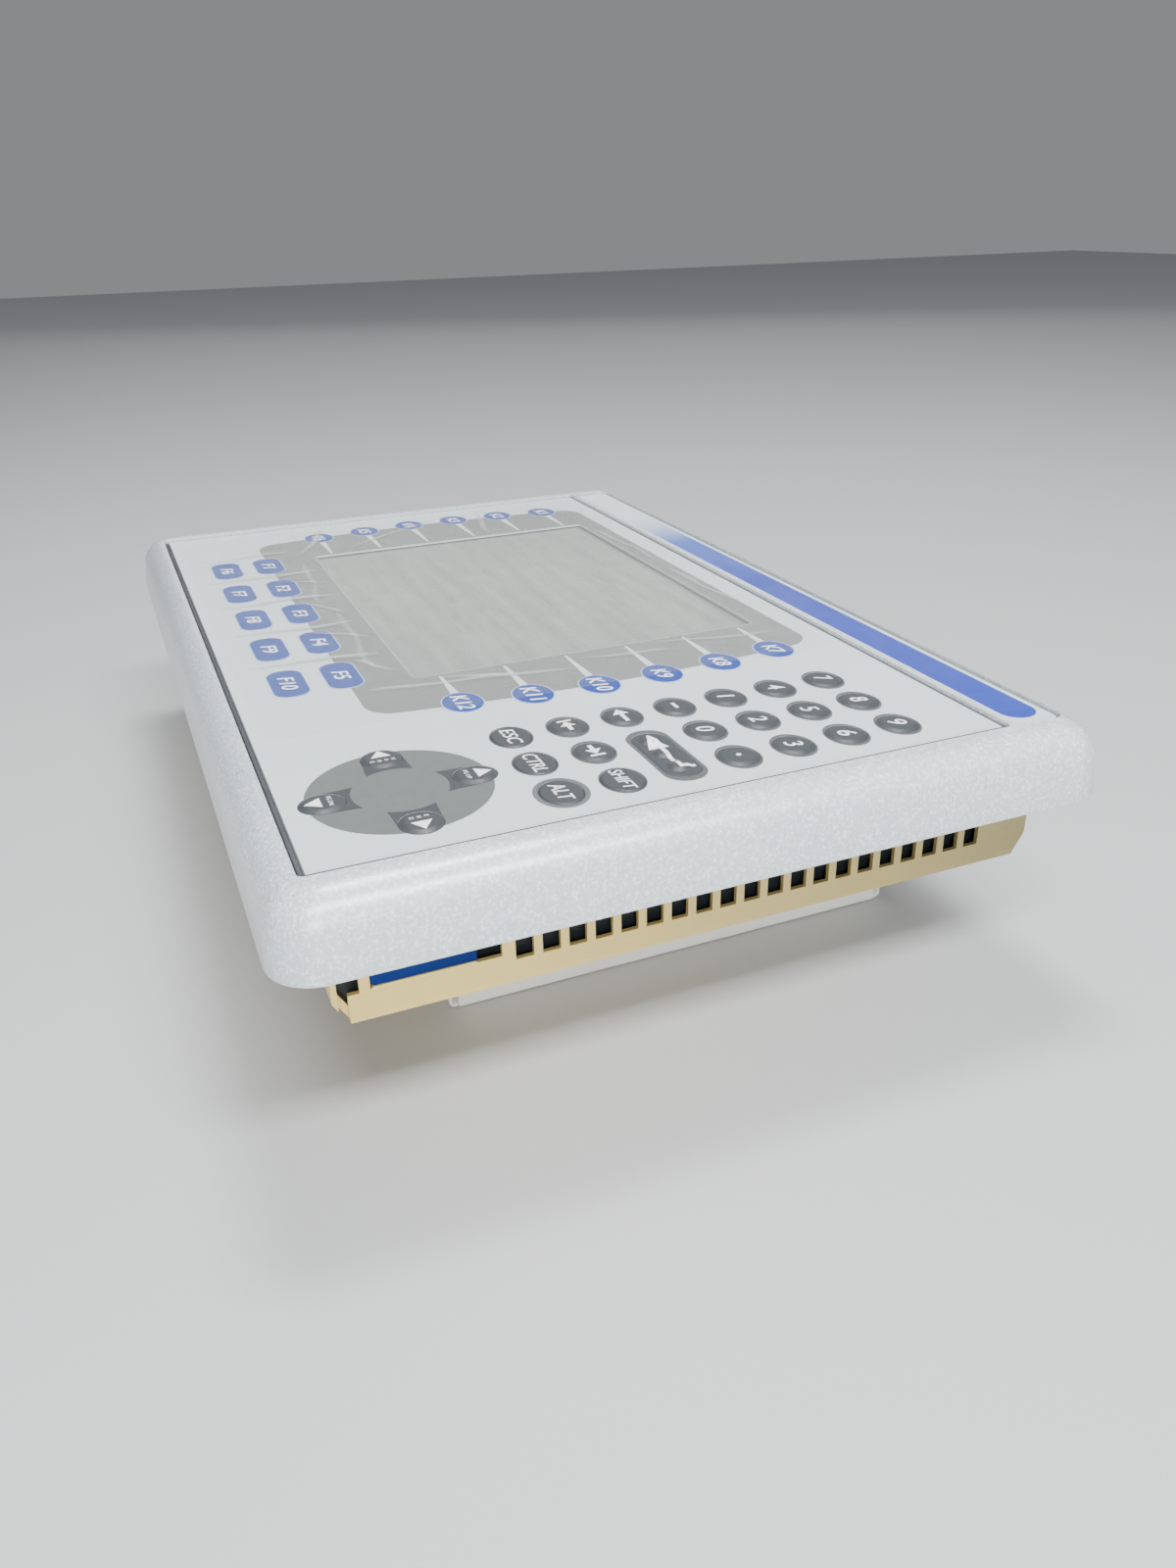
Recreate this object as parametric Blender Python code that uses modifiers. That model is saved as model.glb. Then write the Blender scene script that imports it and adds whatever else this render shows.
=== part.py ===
"""Operator terminal with a 6.5 inch display and a keypad, lying on its back with the display up.

Metres, +Z up. The display faces +Z, the keypad is at the +X end, the banner strip along the +Y edge.
The origin is at the middle of the bottom of the whole object's box.
"""

import math

import bmesh
import bpy
from mathutils import Matrix, Vector

MM = 0.001
GAP = 0.3 * MM

# Levels, from the table up.
COVER_BOTTOM = 0.0
MODULE_TOP = 33.6 * MM
CHASSIS_BOTTOM = 34.0 * MM
BEZEL_BACK = 53.1 * MM
PLATE_BACK = 65.4 * MM
POCKET_FLOOR = 68.1 * MM
FILM_TOP = 69.0 * MM
BEZEL_TOP = 70.0 * MM

# Bezel: the painted front frame.
BEZEL_LENGTH = 290.0 * MM
BEZEL_WIDTH = 192.0 * MM
BEZEL_CORNER = 10.5 * MM
BEZEL_EDGE = 8.4 * MM
BEZEL_DRAFT = 1.4 * MM

# Film with the keys' legends, and the strip above it.
FILM_X = (-133.1 * MM, 133.1 * MM)
FILM_Y = (-85.9 * MM, 73.3 * MM)
FILM_THICKNESS = 0.6 * MM
BANNER_X = (-133.1 * MM, 133.8 * MM)
BANNER_Y = (75.8 * MM, 88.7 * MM)
BANNER_CORNER = 3.5 * MM

# Display, behind a window in the film.
WINDOW_CENTRE = (-23.2 * MM, 9.1 * MM)
WINDOW_SIZE = (130.6 * MM, 99.6 * MM)
DISPLAY_OPENING = (146.0 * MM, 112.0 * MM)
BACKLIGHT_SIZE = (158.0 * MM, 120.0 * MM, 10.0 * MM)

# Keypad.
PAD_COLUMNS = (88.8 * MM, 104.4 * MM, 120.0 * MM)
PAD_FIRST_ROW = -30.7 * MM
PAD_ROW_PITCH = 13.87 * MM
PAD_ROWS = (
    ("esc", "ctrl", "alt"),
    ("tab_left", "tab_right", "shift"),
    ("backspace",),
    ("minus", "0", "point"),
    ("1", "2", "3"),
    ("4", "5", "6"),
    ("7", "8", "9"),
)
KEY_RADII = (5.3 * MM, 4.6 * MM)
KEY_DOME = 0.55 * MM
WIDE_KEYS = ("esc", "ctrl", "alt", "shift")
WIDE_KEY_RADII = (5.9 * MM, 4.6 * MM)
WIDE_KEY_DOME = 0.3 * MM
KEY_TRAVEL = 0.4 * MM
KEY_SIDES = 16
ENTER_SIZE = (24.6 * MM, 8.4 * MM)
ENTER_DOME = 0.3 * MM
NAV_CENTRE = (104.2 * MM, -60.7 * MM)
NAV_REACH = 16.4 * MM
NAV_RADII = (4.6 * MM, 4.9 * MM)
PAD_OPENING_X = (80.5 * MM, 128.0 * MM)
PAD_OPENING_Y = (-83.0 * MM, 61.0 * MM)
BOARD_THICKNESS = 1.6 * MM

# Rear chassis: a folded sheet tray with vents in its end walls.
CHASSIS_LENGTH = 263.2 * MM
CHASSIS_WIDTH = 168.4 * MM
CHASSIS_SHEET = 1.2 * MM
CHASSIS_CHAMFER = (3.2 * MM, 5.4 * MM)
VENT_FIRST = -44.2 * MM
VENT_PITCH = 5.905 * MM
VENT_COUNT = 20
VENT_SIZE = (4.0 * MM, 5.2 * MM)
VENT_SILL = 39.4 * MM
SLOT_Y = (-76.4 * MM, -49.1 * MM)
SLOT_SILL = 41.0 * MM
CORNER_NOTCH_Y = (-83.0 * MM, -81.0 * MM)
EDGE_NOTCH_Y = (-81.5 * MM, -78.6 * MM)

# Logic module: a shallow case on the back of the chassis.
MODULE_X = (-90.5 * MM, 90.5 * MM)
MODULE_Y = (-48.5 * MM, 73.5 * MM)
MODULE_SHEET = 1.2 * MM
MODULE_TAB = (11.0 * MM, 14.0 * MM)
MODULE_TAB_Y = (-30.0 * MM, 55.0 * MM)
COVER_SCREW_Y = 12.0 * MM
COVER_SCREW_Z = 20.0 * MM
LINK_X = (-31.0 * MM, 31.0 * MM)
LINK_Y = (37.0 * MM, 45.0 * MM)
MAIN_BOARD_LEVEL = 27.0 * MM
PORT_LEVEL = 19.5 * MM

# Sockets along the module's -Y wall: middle in X, width and height of the hole in the wall.
PORTS = {
    "power_header": (-72.0 * MM, 17.0 * MM, 11.0 * MM),
    "serial_port": (-42.0 * MM, 20.0 * MM, 11.0 * MM),
    "usb_port_1": (-14.0 * MM, 14.4 * MM, 7.0 * MM),
    "usb_port_2": (3.0 * MM, 14.4 * MM, 7.0 * MM),
    "ethernet_port": (23.0 * MM, 16.6 * MM, 14.0 * MM),
    "reset_button": (37.0 * MM, 4.6 * MM, 4.6 * MM),
    "card_slot": (63.0 * MM, 45.0 * MM, 6.4 * MM),
}

# Fasteners, and the posts in the bezel that the chassis is screwed to.
SCREW_HEAD_RADIUS = 2.9 * MM
SCREW_HEAD_HEIGHT = 1.9 * MM
SCREW_SHAFT_RADIUS = 1.4 * MM
BOSS_PLACES = (
    (-124.0 * MM, -76.0 * MM),
    (-124.0 * MM, 76.0 * MM),
    (69.0 * MM, -76.0 * MM),
    (124.0 * MM, 76.0 * MM),
)
BOSS_RADIUS = 3.6 * MM


def clear_scene():
    for obj in list(bpy.data.objects):
        bpy.data.objects.remove(obj, do_unlink=True)


def new_collection(name):
    made = bpy.data.collections.new(name)
    bpy.context.scene.collection.children.link(made)
    return made


def new_material(name, colour, roughness, metallic=0.0):
    material = bpy.data.materials.new(name)
    material.use_nodes = True
    shader = material.node_tree.nodes["Principled BSDF"]
    shader.inputs["Base Color"].default_value = (*colour, 1.0)
    shader.inputs["Roughness"].default_value = roughness
    shader.inputs["Metallic"].default_value = metallic
    material.diffuse_color = (*colour, 1.0)
    return material


clear_scene()
PARTS = new_collection("operator_terminal")
CUTTERS = new_collection("cutters")
MATERIALS = {
    "bezel_paint": new_material("bezel_paint", (0.70, 0.74, 0.79), 0.55),
    "film": new_material("film", (0.66, 0.70, 0.74), 0.35),
    "banner_film": new_material("banner_film", (0.10, 0.17, 0.55), 0.35),
    "screen_glass": new_material("screen_glass", (0.45, 0.48, 0.45), 0.12),
    "display_glass": new_material("display_glass", (0.36, 0.39, 0.36), 0.25),
    "steel_tray": new_material("steel_tray", (0.55, 0.56, 0.56), 0.40, 1.0),
    "black_foam": new_material("black_foam", (0.03, 0.03, 0.03), 0.95),
    "key_grey": new_material("key_grey", (0.16, 0.17, 0.18), 0.45),
    "circuit_green": new_material("circuit_green", (0.03, 0.20, 0.09), 0.45),
    "chromated_steel": new_material("chromated_steel", (0.72, 0.62, 0.42), 0.38, 0.8),
    "blue_sheet": new_material("blue_sheet", (0.02, 0.10, 0.42), 0.40),
    "white_sheet_metal": new_material("white_sheet_metal", (0.80, 0.80, 0.80), 0.40, 0.5),
    "black_plastic": new_material("black_plastic", (0.03, 0.03, 0.035), 0.50),
    "green_plastic": new_material("green_plastic", (0.04, 0.28, 0.12), 0.50),
    "connector_shell": new_material("connector_shell", (0.66, 0.66, 0.66), 0.30, 1.0),
    "aluminium": new_material("aluminium", (0.70, 0.71, 0.72), 0.40, 1.0),
    "screw_steel": new_material("screw_steel", (0.62, 0.61, 0.58), 0.35, 1.0),
    "cell_steel": new_material("cell_steel", (0.70, 0.70, 0.70), 0.25, 1.0),
}


def place(name, mesh, collection, material=None, origin=(0.0, 0.0, 0.0)):
    obj = bpy.data.objects.new(name, mesh)
    obj.location = origin
    collection.objects.link(obj)
    if material:
        mesh.materials.append(MATERIALS[material])
    return obj


def part(name, bm, material, origin=(0.0, 0.0, 0.0)):
    """A named piece from a bmesh drawn in world space, with its origin moved to the given point."""
    bmesh.ops.translate(bm, vec=-Vector(origin), verts=bm.verts)
    mesh = bpy.data.meshes.new(name)
    bm.to_mesh(mesh)
    bm.free()
    mesh.shade_smooth()
    mesh.set_sharp_from_angle(angle=math.radians(35))
    return place(name, mesh, PARTS, material, origin)


def helper(name, bm):
    """A shape that cuts a piece or is welded to it, and isn't a piece itself."""
    mesh = bpy.data.meshes.new(name)
    bm.to_mesh(mesh)
    bm.free()
    obj = place(name, mesh, CUTTERS)
    obj.hide_render = True
    obj.display_type = "WIRE"
    return obj


def combine(obj, bm, operation):
    modifier = obj.modifiers.new(operation.lower(), "BOOLEAN")
    modifier.operation = operation
    modifier.solver = "EXACT"
    modifier.object = helper(f"{obj.name}_{operation.lower()}_{len(obj.modifiers)}", bm)


def cut(obj, bm):
    combine(obj, bm, "DIFFERENCE")


def weld(obj, bm):
    combine(obj, bm, "UNION")


def centred(middle, size):
    return middle - size / 2, middle + size / 2


def block(bm, x, y, z):
    """A box between the given pairs of limits."""
    centre = Vector((sum(x) / 2, sum(y) / 2, sum(z) / 2))
    size = Matrix.Diagonal((x[1] - x[0], y[1] - y[0], z[1] - z[0], 1.0))
    return bmesh.ops.create_cube(bm, size=1.0, matrix=Matrix.Translation(centre) @ size)["verts"]


def edges_of(verts):
    return {edge for vert in verts for edge in vert.link_edges}


def upright(edge):
    one, other = (vert.co for vert in edge.verts)
    return abs((one - other).normalized().z) > 0.9


def rounded_block(bm, x, y, z, radius, segments=3):
    """A box whose four upright edges are rounded."""
    verts = block(bm, x, y, z)
    corners = [edge for edge in edges_of(verts) if upright(edge)]
    bmesh.ops.bevel(bm, geom=corners, offset=radius, segments=segments, profile=0.5, affect="EDGES")


def cylinder(bm, centre, radius, z, sides=16):
    middle = Matrix.Translation((centre[0], centre[1], sum(z) / 2))
    bmesh.ops.create_cone(bm, cap_ends=True, segments=sides, radius1=radius, radius2=radius,
                          depth=z[1] - z[0], matrix=middle)


def oval(bm, centre, radii, z, sides=KEY_SIDES):
    shape = Matrix.Translation((centre[0], centre[1], sum(z) / 2)) @ Matrix.Diagonal((*radii, 1.0, 1.0))
    bmesh.ops.create_cone(bm, cap_ends=True, segments=sides, radius1=1.0, radius2=1.0,
                          depth=z[1] - z[0], matrix=shape)


def prism_along_x(bm, outline, x):
    """A solid whose cross-section in Y and Z is the outline."""
    corners = [bm.verts.new((x[0], y, z)) for y, z in outline]
    face = bm.faces.new(corners)
    grown = bmesh.ops.extrude_face_region(bm, geom=[face])["geom"]
    moved = [item for item in grown if isinstance(item, bmesh.types.BMVert)]
    bmesh.ops.translate(bm, vec=(x[1] - x[0], 0.0, 0.0), verts=moved)
    bmesh.ops.recalc_face_normals(bm, faces=bm.faces)


def turned(name, profile, material, origin, scale=(1.0, 1.0, 1.0), sides=KEY_SIDES):
    """A turned piece, whose profile runs from the axis at the top, down the outside, to the axis."""
    mesh = bpy.data.meshes.new(name)
    points = [(radius, 0.0, height) for radius, height in profile]
    mesh.from_pydata(points, [(i, i + 1) for i in range(len(points) - 1)], [])
    obj = place(name, mesh, PARTS, material, origin)
    obj.scale = scale
    screw = obj.modifiers.new("turn", "SCREW")
    screw.axis = "Z"
    screw.angle = math.tau
    screw.steps = sides
    screw.render_steps = sides
    screw.use_merge_vertices = True
    screw.merge_threshold = 0.00001
    screw.use_smooth_shade = True
    return obj


# ---------------------------------------------------------------- front frame and films

def make_bezel():
    bm = bmesh.new()
    block(bm, centred(0, BEZEL_LENGTH), centred(0, BEZEL_WIDTH), (BEZEL_BACK, BEZEL_TOP))
    for vert in bm.verts:
        if vert.co.z > BEZEL_BACK + GAP:
            vert.co.x -= math.copysign(BEZEL_DRAFT, vert.co.x)
            vert.co.y -= math.copysign(BEZEL_DRAFT, vert.co.y)
    corners = [edge for edge in bm.edges if upright(edge)]
    bmesh.ops.bevel(bm, geom=corners, offset=BEZEL_CORNER, segments=6, profile=0.5, affect="EDGES")
    rim = [edge for edge in bm.edges if all(vert.co.z > BEZEL_TOP - GAP for vert in edge.verts)]
    bmesh.ops.bevel(bm, geom=rim, offset=BEZEL_EDGE, segments=5, profile=0.5, affect="EDGES")
    bezel = part("bezel", bm, "bezel_paint")

    posts = bmesh.new()
    for place_xy in BOSS_PLACES:
        cylinder(posts, place_xy, BOSS_RADIUS, (CHASSIS_BOTTOM + CHASSIS_SHEET + GAP, PLATE_BACK + GAP), 12)

    hollows = bmesh.new()
    wall = CHASSIS_SHEET
    block(hollows, centred(0, CHASSIS_LENGTH - 2 * wall), centred(0, CHASSIS_WIDTH - 2 * wall),
          (BEZEL_BACK - GAP, PLATE_BACK))
    cut(bezel, hollows)
    weld(bezel, posts)

    pockets = bmesh.new()
    top = BEZEL_TOP + 2 * MM
    rounded_block(pockets, (FILM_X[0] - GAP, FILM_X[1] + GAP), (FILM_Y[0] - GAP, FILM_Y[1] + GAP),
                  (POCKET_FLOOR, top), 1.3 * MM)
    rounded_block(pockets, (BANNER_X[0] - GAP, BANNER_X[1] + GAP), (BANNER_Y[0] - GAP, BANNER_Y[1] + GAP),
                  (POCKET_FLOOR, top), BANNER_CORNER + GAP)
    cut(bezel, pockets)

    through = bmesh.new()
    span = (PLATE_BACK - 1 * MM, POCKET_FLOOR + 1 * MM)
    rounded_block(through, centred(WINDOW_CENTRE[0], DISPLAY_OPENING[0]),
                  centred(WINDOW_CENTRE[1], DISPLAY_OPENING[1]), span, 2 * MM)
    rounded_block(through, PAD_OPENING_X, PAD_OPENING_Y, span, 2 * MM)
    cut(bezel, through)

    groove = bmesh.new()
    gasket_ring(groove, 0.0, (BEZEL_BACK - 1 * MM, BEZEL_BACK + 3 * MM))
    cut(bezel, groove)

    bores = bmesh.new()
    for place_xy in BOSS_PLACES:
        cylinder(bores, place_xy, SCREW_SHAFT_RADIUS + GAP, (CHASSIS_BOTTOM, CHASSIS_BOTTOM + 12 * MM), 12)
    cut(bezel, bores)


def gasket_ring(bm, inset, z):
    """A rectangular ring round the chassis, made of four sides that share their corners."""
    outer = (139.8 * MM - inset, 91.0 * MM - inset)
    inner = (134.4 * MM + inset, 86.6 * MM + inset)
    loops = []
    for half_x, half_y in (outer, inner):
        loops.append([(half_x, half_y), (-half_x, half_y), (-half_x, -half_y), (half_x, -half_y)])
    rings = [[bm.verts.new((x, y, z[0])) for x, y in loop] for loop in loops]
    for i in range(4):
        j = (i + 1) % 4
        bm.faces.new((rings[0][i], rings[0][j], rings[1][j], rings[1][i]))
    grown = bmesh.ops.extrude_face_region(bm, geom=list(bm.faces))["geom"]
    moved = [item for item in grown if isinstance(item, bmesh.types.BMVert)]
    bmesh.ops.translate(bm, vec=(0.0, 0.0, z[1] - z[0]), verts=moved)
    bmesh.ops.recalc_face_normals(bm, faces=bm.faces)


def make_gasket():
    bm = bmesh.new()
    gasket_ring(bm, GAP, (BEZEL_BACK - 0.2 * MM, BEZEL_BACK + 2.6 * MM))
    part("panel_gasket", bm, "black_foam")


def key_places():
    """Every raised key but ENTER: its name, centre, radii and dome height."""
    for row, names in enumerate(PAD_ROWS):
        for column, name in enumerate(names):
            centre = (PAD_COLUMNS[column], PAD_FIRST_ROW + row * PAD_ROW_PITCH)
            wide = name in WIDE_KEYS
            radii = WIDE_KEY_RADII if wide else KEY_RADII
            yield f"key_{name}", centre, radii, WIDE_KEY_DOME if wide else KEY_DOME
    for name, (x, y) in {"up": (0, 1), "down": (0, -1), "left": (-1, 0), "right": (1, 0)}.items():
        centre = (NAV_CENTRE[0] + x * NAV_REACH, NAV_CENTRE[1] + y * NAV_REACH)
        radii = NAV_RADII if y else NAV_RADII[::-1]
        yield f"key_{name}", centre, radii, KEY_DOME


def enter_limits(margin=0.0):
    middle = (PAD_COLUMNS[1] + PAD_COLUMNS[2]) / 2
    row = PAD_FIRST_ROW + 2 * PAD_ROW_PITCH
    return centred(middle, ENTER_SIZE[0] + 2 * margin), centred(row, ENTER_SIZE[1] + 2 * margin)


def make_film():
    bm = bmesh.new()
    z = (FILM_TOP - FILM_THICKNESS, FILM_TOP)
    rounded_block(bm, FILM_X, FILM_Y, z, 1.0 * MM, 2)
    film = part("keypad_film", bm, "film")
    holes = bmesh.new()
    through = (z[0] - 1 * MM, z[1] + 1 * MM)
    rounded_block(holes, centred(WINDOW_CENTRE[0], WINDOW_SIZE[0]),
                  centred(WINDOW_CENTRE[1], WINDOW_SIZE[1]), through, 1.5 * MM, 2)
    for _, centre, radii, _ in key_places():
        oval(holes, centre, (radii[0] + GAP, radii[1] + GAP), through)
    enter_x, enter_y = enter_limits(GAP)
    rounded_block(holes, enter_x, enter_y, through, ENTER_SIZE[1] / 2, 6)
    cut(film, holes)

    bm = bmesh.new()
    rounded_block(bm, BANNER_X, BANNER_Y, z, BANNER_CORNER)
    part("banner_strip", bm, "banner_film")


# ---------------------------------------------------------------- keys

def make_keys():
    foot = PLATE_BACK - GAP + KEY_TRAVEL + 0.2 * MM
    shoulder = FILM_TOP - 0.1 * MM
    for name, centre, radii, dome in key_places():
        crown = FILM_TOP + dome
        profile = [(0.0, crown), (0.45, crown - 0.12 * dome), (0.8, crown - 0.45 * dome), (1.0, shoulder),
                   (1.0, foot), (0.0, foot)]
        turned(name, [(r, z - foot) for r, z in profile], "key_grey", (*centre, foot), (*radii, 1.0))

    bm = bmesh.new()
    x, y = enter_limits()
    rounded_block(bm, x, y, (foot, FILM_TOP + ENTER_DOME), ENTER_SIZE[1] / 2 - 0.1 * MM, 5)
    rim = [edge for edge in bm.edges if all(vert.co.z > FILM_TOP for vert in edge.verts)]
    bmesh.ops.bevel(bm, geom=rim, offset=0.2 * MM, segments=1, affect="EDGES")
    part("key_enter", bm, "key_grey", (sum(x) / 2, sum(y) / 2, foot))


def make_keypad_board():
    bm = bmesh.new()
    top = PLATE_BACK - GAP
    block(bm, (77.0 * MM, 129.5 * MM), (-82.0 * MM, 70.0 * MM), (top - BOARD_THICKNESS, top))
    board = part("keypad_board", bm, "circuit_green")
    plug = bmesh.new()
    block(plug, (79.0 * MM, 85.0 * MM), (-20.0 * MM, 10.0 * MM), (top - 6 * MM, top - BOARD_THICKNESS + GAP))
    weld(board, plug)


# ---------------------------------------------------------------- display

def make_display():
    x = centred(WINDOW_CENTRE[0], DISPLAY_OPENING[0] - 2 * GAP)
    y = centred(WINDOW_CENTRE[1], DISPLAY_OPENING[1] - 2 * GAP)
    bm = bmesh.new()
    rounded_block(bm, x, y, (66.6 * MM, 68.1 * MM), 1.7 * MM, 2)
    part("touch_screen", bm, "screen_glass")

    bm = bmesh.new()
    x = centred(WINDOW_CENTRE[0], 142 * MM)
    y = centred(WINDOW_CENTRE[1], 108 * MM)
    block(bm, x, y, (65.1 * MM, 66.3 * MM))
    part("lcd_panel", bm, "display_glass")

    bm = bmesh.new()
    length, width, depth = BACKLIGHT_SIZE
    top = 64.8 * MM
    block(bm, centred(WINDOW_CENTRE[0], length), centred(WINDOW_CENTRE[1], width), (top - depth, top))
    part("lcd_backlight", bm, "steel_tray")

    bm = bmesh.new()
    block(bm, (-96.0 * MM, 40.0 * MM), (-79.0 * MM, -58.0 * MM), (44.0 * MM, 45.6 * MM))
    inverter = part("backlight_inverter", bm, "circuit_green")
    coils = bmesh.new()
    for centre in (-70.0 * MM, -28.0 * MM, 14.0 * MM):
        block(coils, centred(centre, 22 * MM), (-76.0 * MM, -61.0 * MM), (45.4 * MM, 51.6 * MM))
    weld(inverter, coils)


def make_display_board():
    bm = bmesh.new()
    block(bm, (-60.0 * MM, 120.0 * MM), (-52.0 * MM, 66.0 * MM), (40.6 * MM, 42.2 * MM))
    board = part("display_board", bm, "circuit_green")
    chips = bmesh.new()
    block(chips, (-20.0 * MM, 8.0 * MM), (-10.0 * MM, 18.0 * MM), (42.0 * MM, 44.6 * MM))
    block(chips, (50.0 * MM, 64.0 * MM), (20.0 * MM, 46.0 * MM), (42.0 * MM, 44.4 * MM))
    block(chips, (88.0 * MM, 112.0 * MM), (-34.0 * MM, -18.0 * MM), (42.0 * MM, 47.6 * MM))
    block(chips, (-30.0 * MM, 30.0 * MM), (38.0 * MM, 44.0 * MM), (36.6 * MM, 40.8 * MM))
    weld(board, chips)


# ---------------------------------------------------------------- rear chassis

def tray_outline(half_width, bottom, top, chamfer):
    inset, rise = chamfer
    return [(-half_width, top), (-half_width, bottom + rise), (-half_width + inset, bottom),
            (half_width - inset, bottom), (half_width, bottom + rise), (half_width, top)]


def make_chassis():
    top = BEZEL_BACK - GAP
    bm = bmesh.new()
    prism_along_x(bm, tray_outline(CHASSIS_WIDTH / 2, CHASSIS_BOTTOM, top, CHASSIS_CHAMFER),
                  centred(0, CHASSIS_LENGTH))
    chassis = part("rear_chassis", bm, "chromated_steel")

    inside = bmesh.new()
    prism_along_x(inside, tray_outline(CHASSIS_WIDTH / 2 - CHASSIS_SHEET, CHASSIS_BOTTOM + CHASSIS_SHEET,
                                       top + 5 * MM, CHASSIS_CHAMFER),
                  centred(0, CHASSIS_LENGTH - 2 * CHASSIS_SHEET))
    cut(chassis, inside)

    openings = bmesh.new()
    near_wall = (CHASSIS_LENGTH / 2 - 2 * CHASSIS_SHEET, CHASSIS_LENGTH / 2 + CHASSIS_SHEET)
    far_wall = (-near_wall[1], -near_wall[0])
    for number in range(VENT_COUNT):
        y = centred(VENT_FIRST + number * VENT_PITCH, VENT_SIZE[0])
        z = (VENT_SILL, VENT_SILL + VENT_SIZE[1])
        block(openings, near_wall, y, z)
        block(openings, far_wall, y, z)
    block(openings, near_wall, SLOT_Y, (SLOT_SILL, SLOT_SILL + 6.0 * MM))
    block(openings, near_wall, CORNER_NOTCH_Y, (CHASSIS_BOTTOM - 1 * MM, 49.0 * MM))
    cut(chassis, openings)

    more = bmesh.new()
    block(more, near_wall, EDGE_NOTCH_Y, (SLOT_SILL - 0.4 * MM, 48.0 * MM))
    floor = (CHASSIS_BOTTOM - 2 * MM, CHASSIS_BOTTOM + 3 * MM)
    block(more, LINK_X, LINK_Y, floor)
    for centre in list(BOSS_PLACES) + module_screw_places():
        cylinder(more, centre, SCREW_SHAFT_RADIUS + GAP, floor, 12)
    cut(chassis, more)


def make_blue_sheet():
    bm = bmesh.new()
    wall = CHASSIS_LENGTH / 2 - CHASSIS_SHEET
    block(bm, (wall - 1.0 * MM, wall - 0.4 * MM), (-77.5 * MM, -54.4 * MM), (38.0 * MM, 49.0 * MM))
    part("insulation_sheet", bm, "blue_sheet")


# ---------------------------------------------------------------- logic module

def make_module_cover():
    bm = bmesh.new()
    wall_top = MODULE_TOP - 2.0 * MM
    block(bm, MODULE_X, MODULE_Y, (COVER_BOTTOM, wall_top))
    cover = part("module_cover", bm, "white_sheet_metal")
    inside = bmesh.new()
    block(inside, (MODULE_X[0] + MODULE_SHEET, MODULE_X[1] - MODULE_SHEET),
          (MODULE_Y[0] - 2 * MM, MODULE_Y[1] + 2 * MM), (COVER_BOTTOM + MODULE_SHEET, wall_top + 2 * MM))
    cut(cover, inside)
    cut(cover, cover_screw_holes(MODULE_X))


def cover_screw_holes(walls):
    """Cutters for a screw hole through each of the two walls."""
    bm = bmesh.new()
    size = 2 * (SCREW_SHAFT_RADIUS + GAP)
    for x in walls:
        block(bm, centred(x, 6 * MM), centred(COVER_SCREW_Y, size), centred(COVER_SCREW_Z, size))
    return bm


def base_limits():
    step = MODULE_SHEET + 1.2 * MM
    return (MODULE_X[0] + step, MODULE_X[1] - step), (MODULE_Y[0] + 1.2 * MM, MODULE_Y[1] - 1.2 * MM)


def module_screw_places():
    return [(side * (MODULE_X[1] + 5.0 * MM), y) for side in (-1, 1) for y in MODULE_TAB_Y]


def make_module_base():
    x, y = base_limits()
    bottom = COVER_BOTTOM + MODULE_SHEET + 0.4 * MM
    bm = bmesh.new()
    block(bm, x, y, (bottom, MODULE_TOP))
    base = part("module_base", bm, "white_sheet_metal")

    tabs = bmesh.new()
    for sign in (-1, 1):
        for tab_y in MODULE_TAB_Y:
            tab_x = sorted((sign * (MODULE_X[1] - 4 * MM), sign * (MODULE_X[1] + MODULE_TAB[0])))
            block(tabs, tab_x, centred(tab_y, MODULE_TAB[1]), (MODULE_TOP - MODULE_SHEET, MODULE_TOP))
    weld(base, tabs)

    inside = bmesh.new()
    block(inside, (x[0] + MODULE_SHEET, x[1] - MODULE_SHEET), (y[0] + MODULE_SHEET, y[1] - MODULE_SHEET),
          (bottom - 2 * MM, MODULE_TOP - MODULE_SHEET))
    cut(base, inside)

    holes = bmesh.new()
    for middle, width, height in PORTS.values():
        block(holes, centred(middle, width), (y[0] - 2 * MM, y[0] + 2 * MM), centred(PORT_LEVEL, height))
    block(holes, LINK_X, LINK_Y, (MODULE_TOP - 2 * MM, MODULE_TOP + 2 * MM))
    for centre in module_screw_places():
        cylinder(holes, centre, SCREW_SHAFT_RADIUS + GAP, (MODULE_TOP - 3 * MM, MODULE_TOP + 2 * MM), 12)
    cut(base, holes)
    cut(base, cover_screw_holes(x))


def make_main_board():
    bm = bmesh.new()
    level = MAIN_BOARD_LEVEL
    block(bm, (-84.0 * MM, 84.0 * MM), (-43.0 * MM, 70.0 * MM), (level, level + BOARD_THICKNESS))
    board = part("main_board", bm, "circuit_green")
    chips = bmesh.new()
    block(chips, (-70.0 * MM, -40.0 * MM), (30.0 * MM, 42.0 * MM), (level - 9 * MM, level + GAP))
    block(chips, (34.0 * MM, 66.0 * MM), (16.0 * MM, 22.0 * MM), (level - 6 * MM, level + GAP))
    block(chips, (-66.0 * MM, -54.0 * MM), (2.0 * MM, 14.0 * MM), (level - 12 * MM, level + GAP))
    link_z = (level + BOARD_THICKNESS - GAP, CHASSIS_BOTTOM + 2.2 * MM)
    link_x = (LINK_X[0] + 2 * MM, LINK_X[1] - 2 * MM)
    link_y = (LINK_Y[0] + 1.4 * MM, LINK_Y[1] - 1.4 * MM)
    block(chips, link_x, link_y, link_z)
    weld(board, chips)


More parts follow.
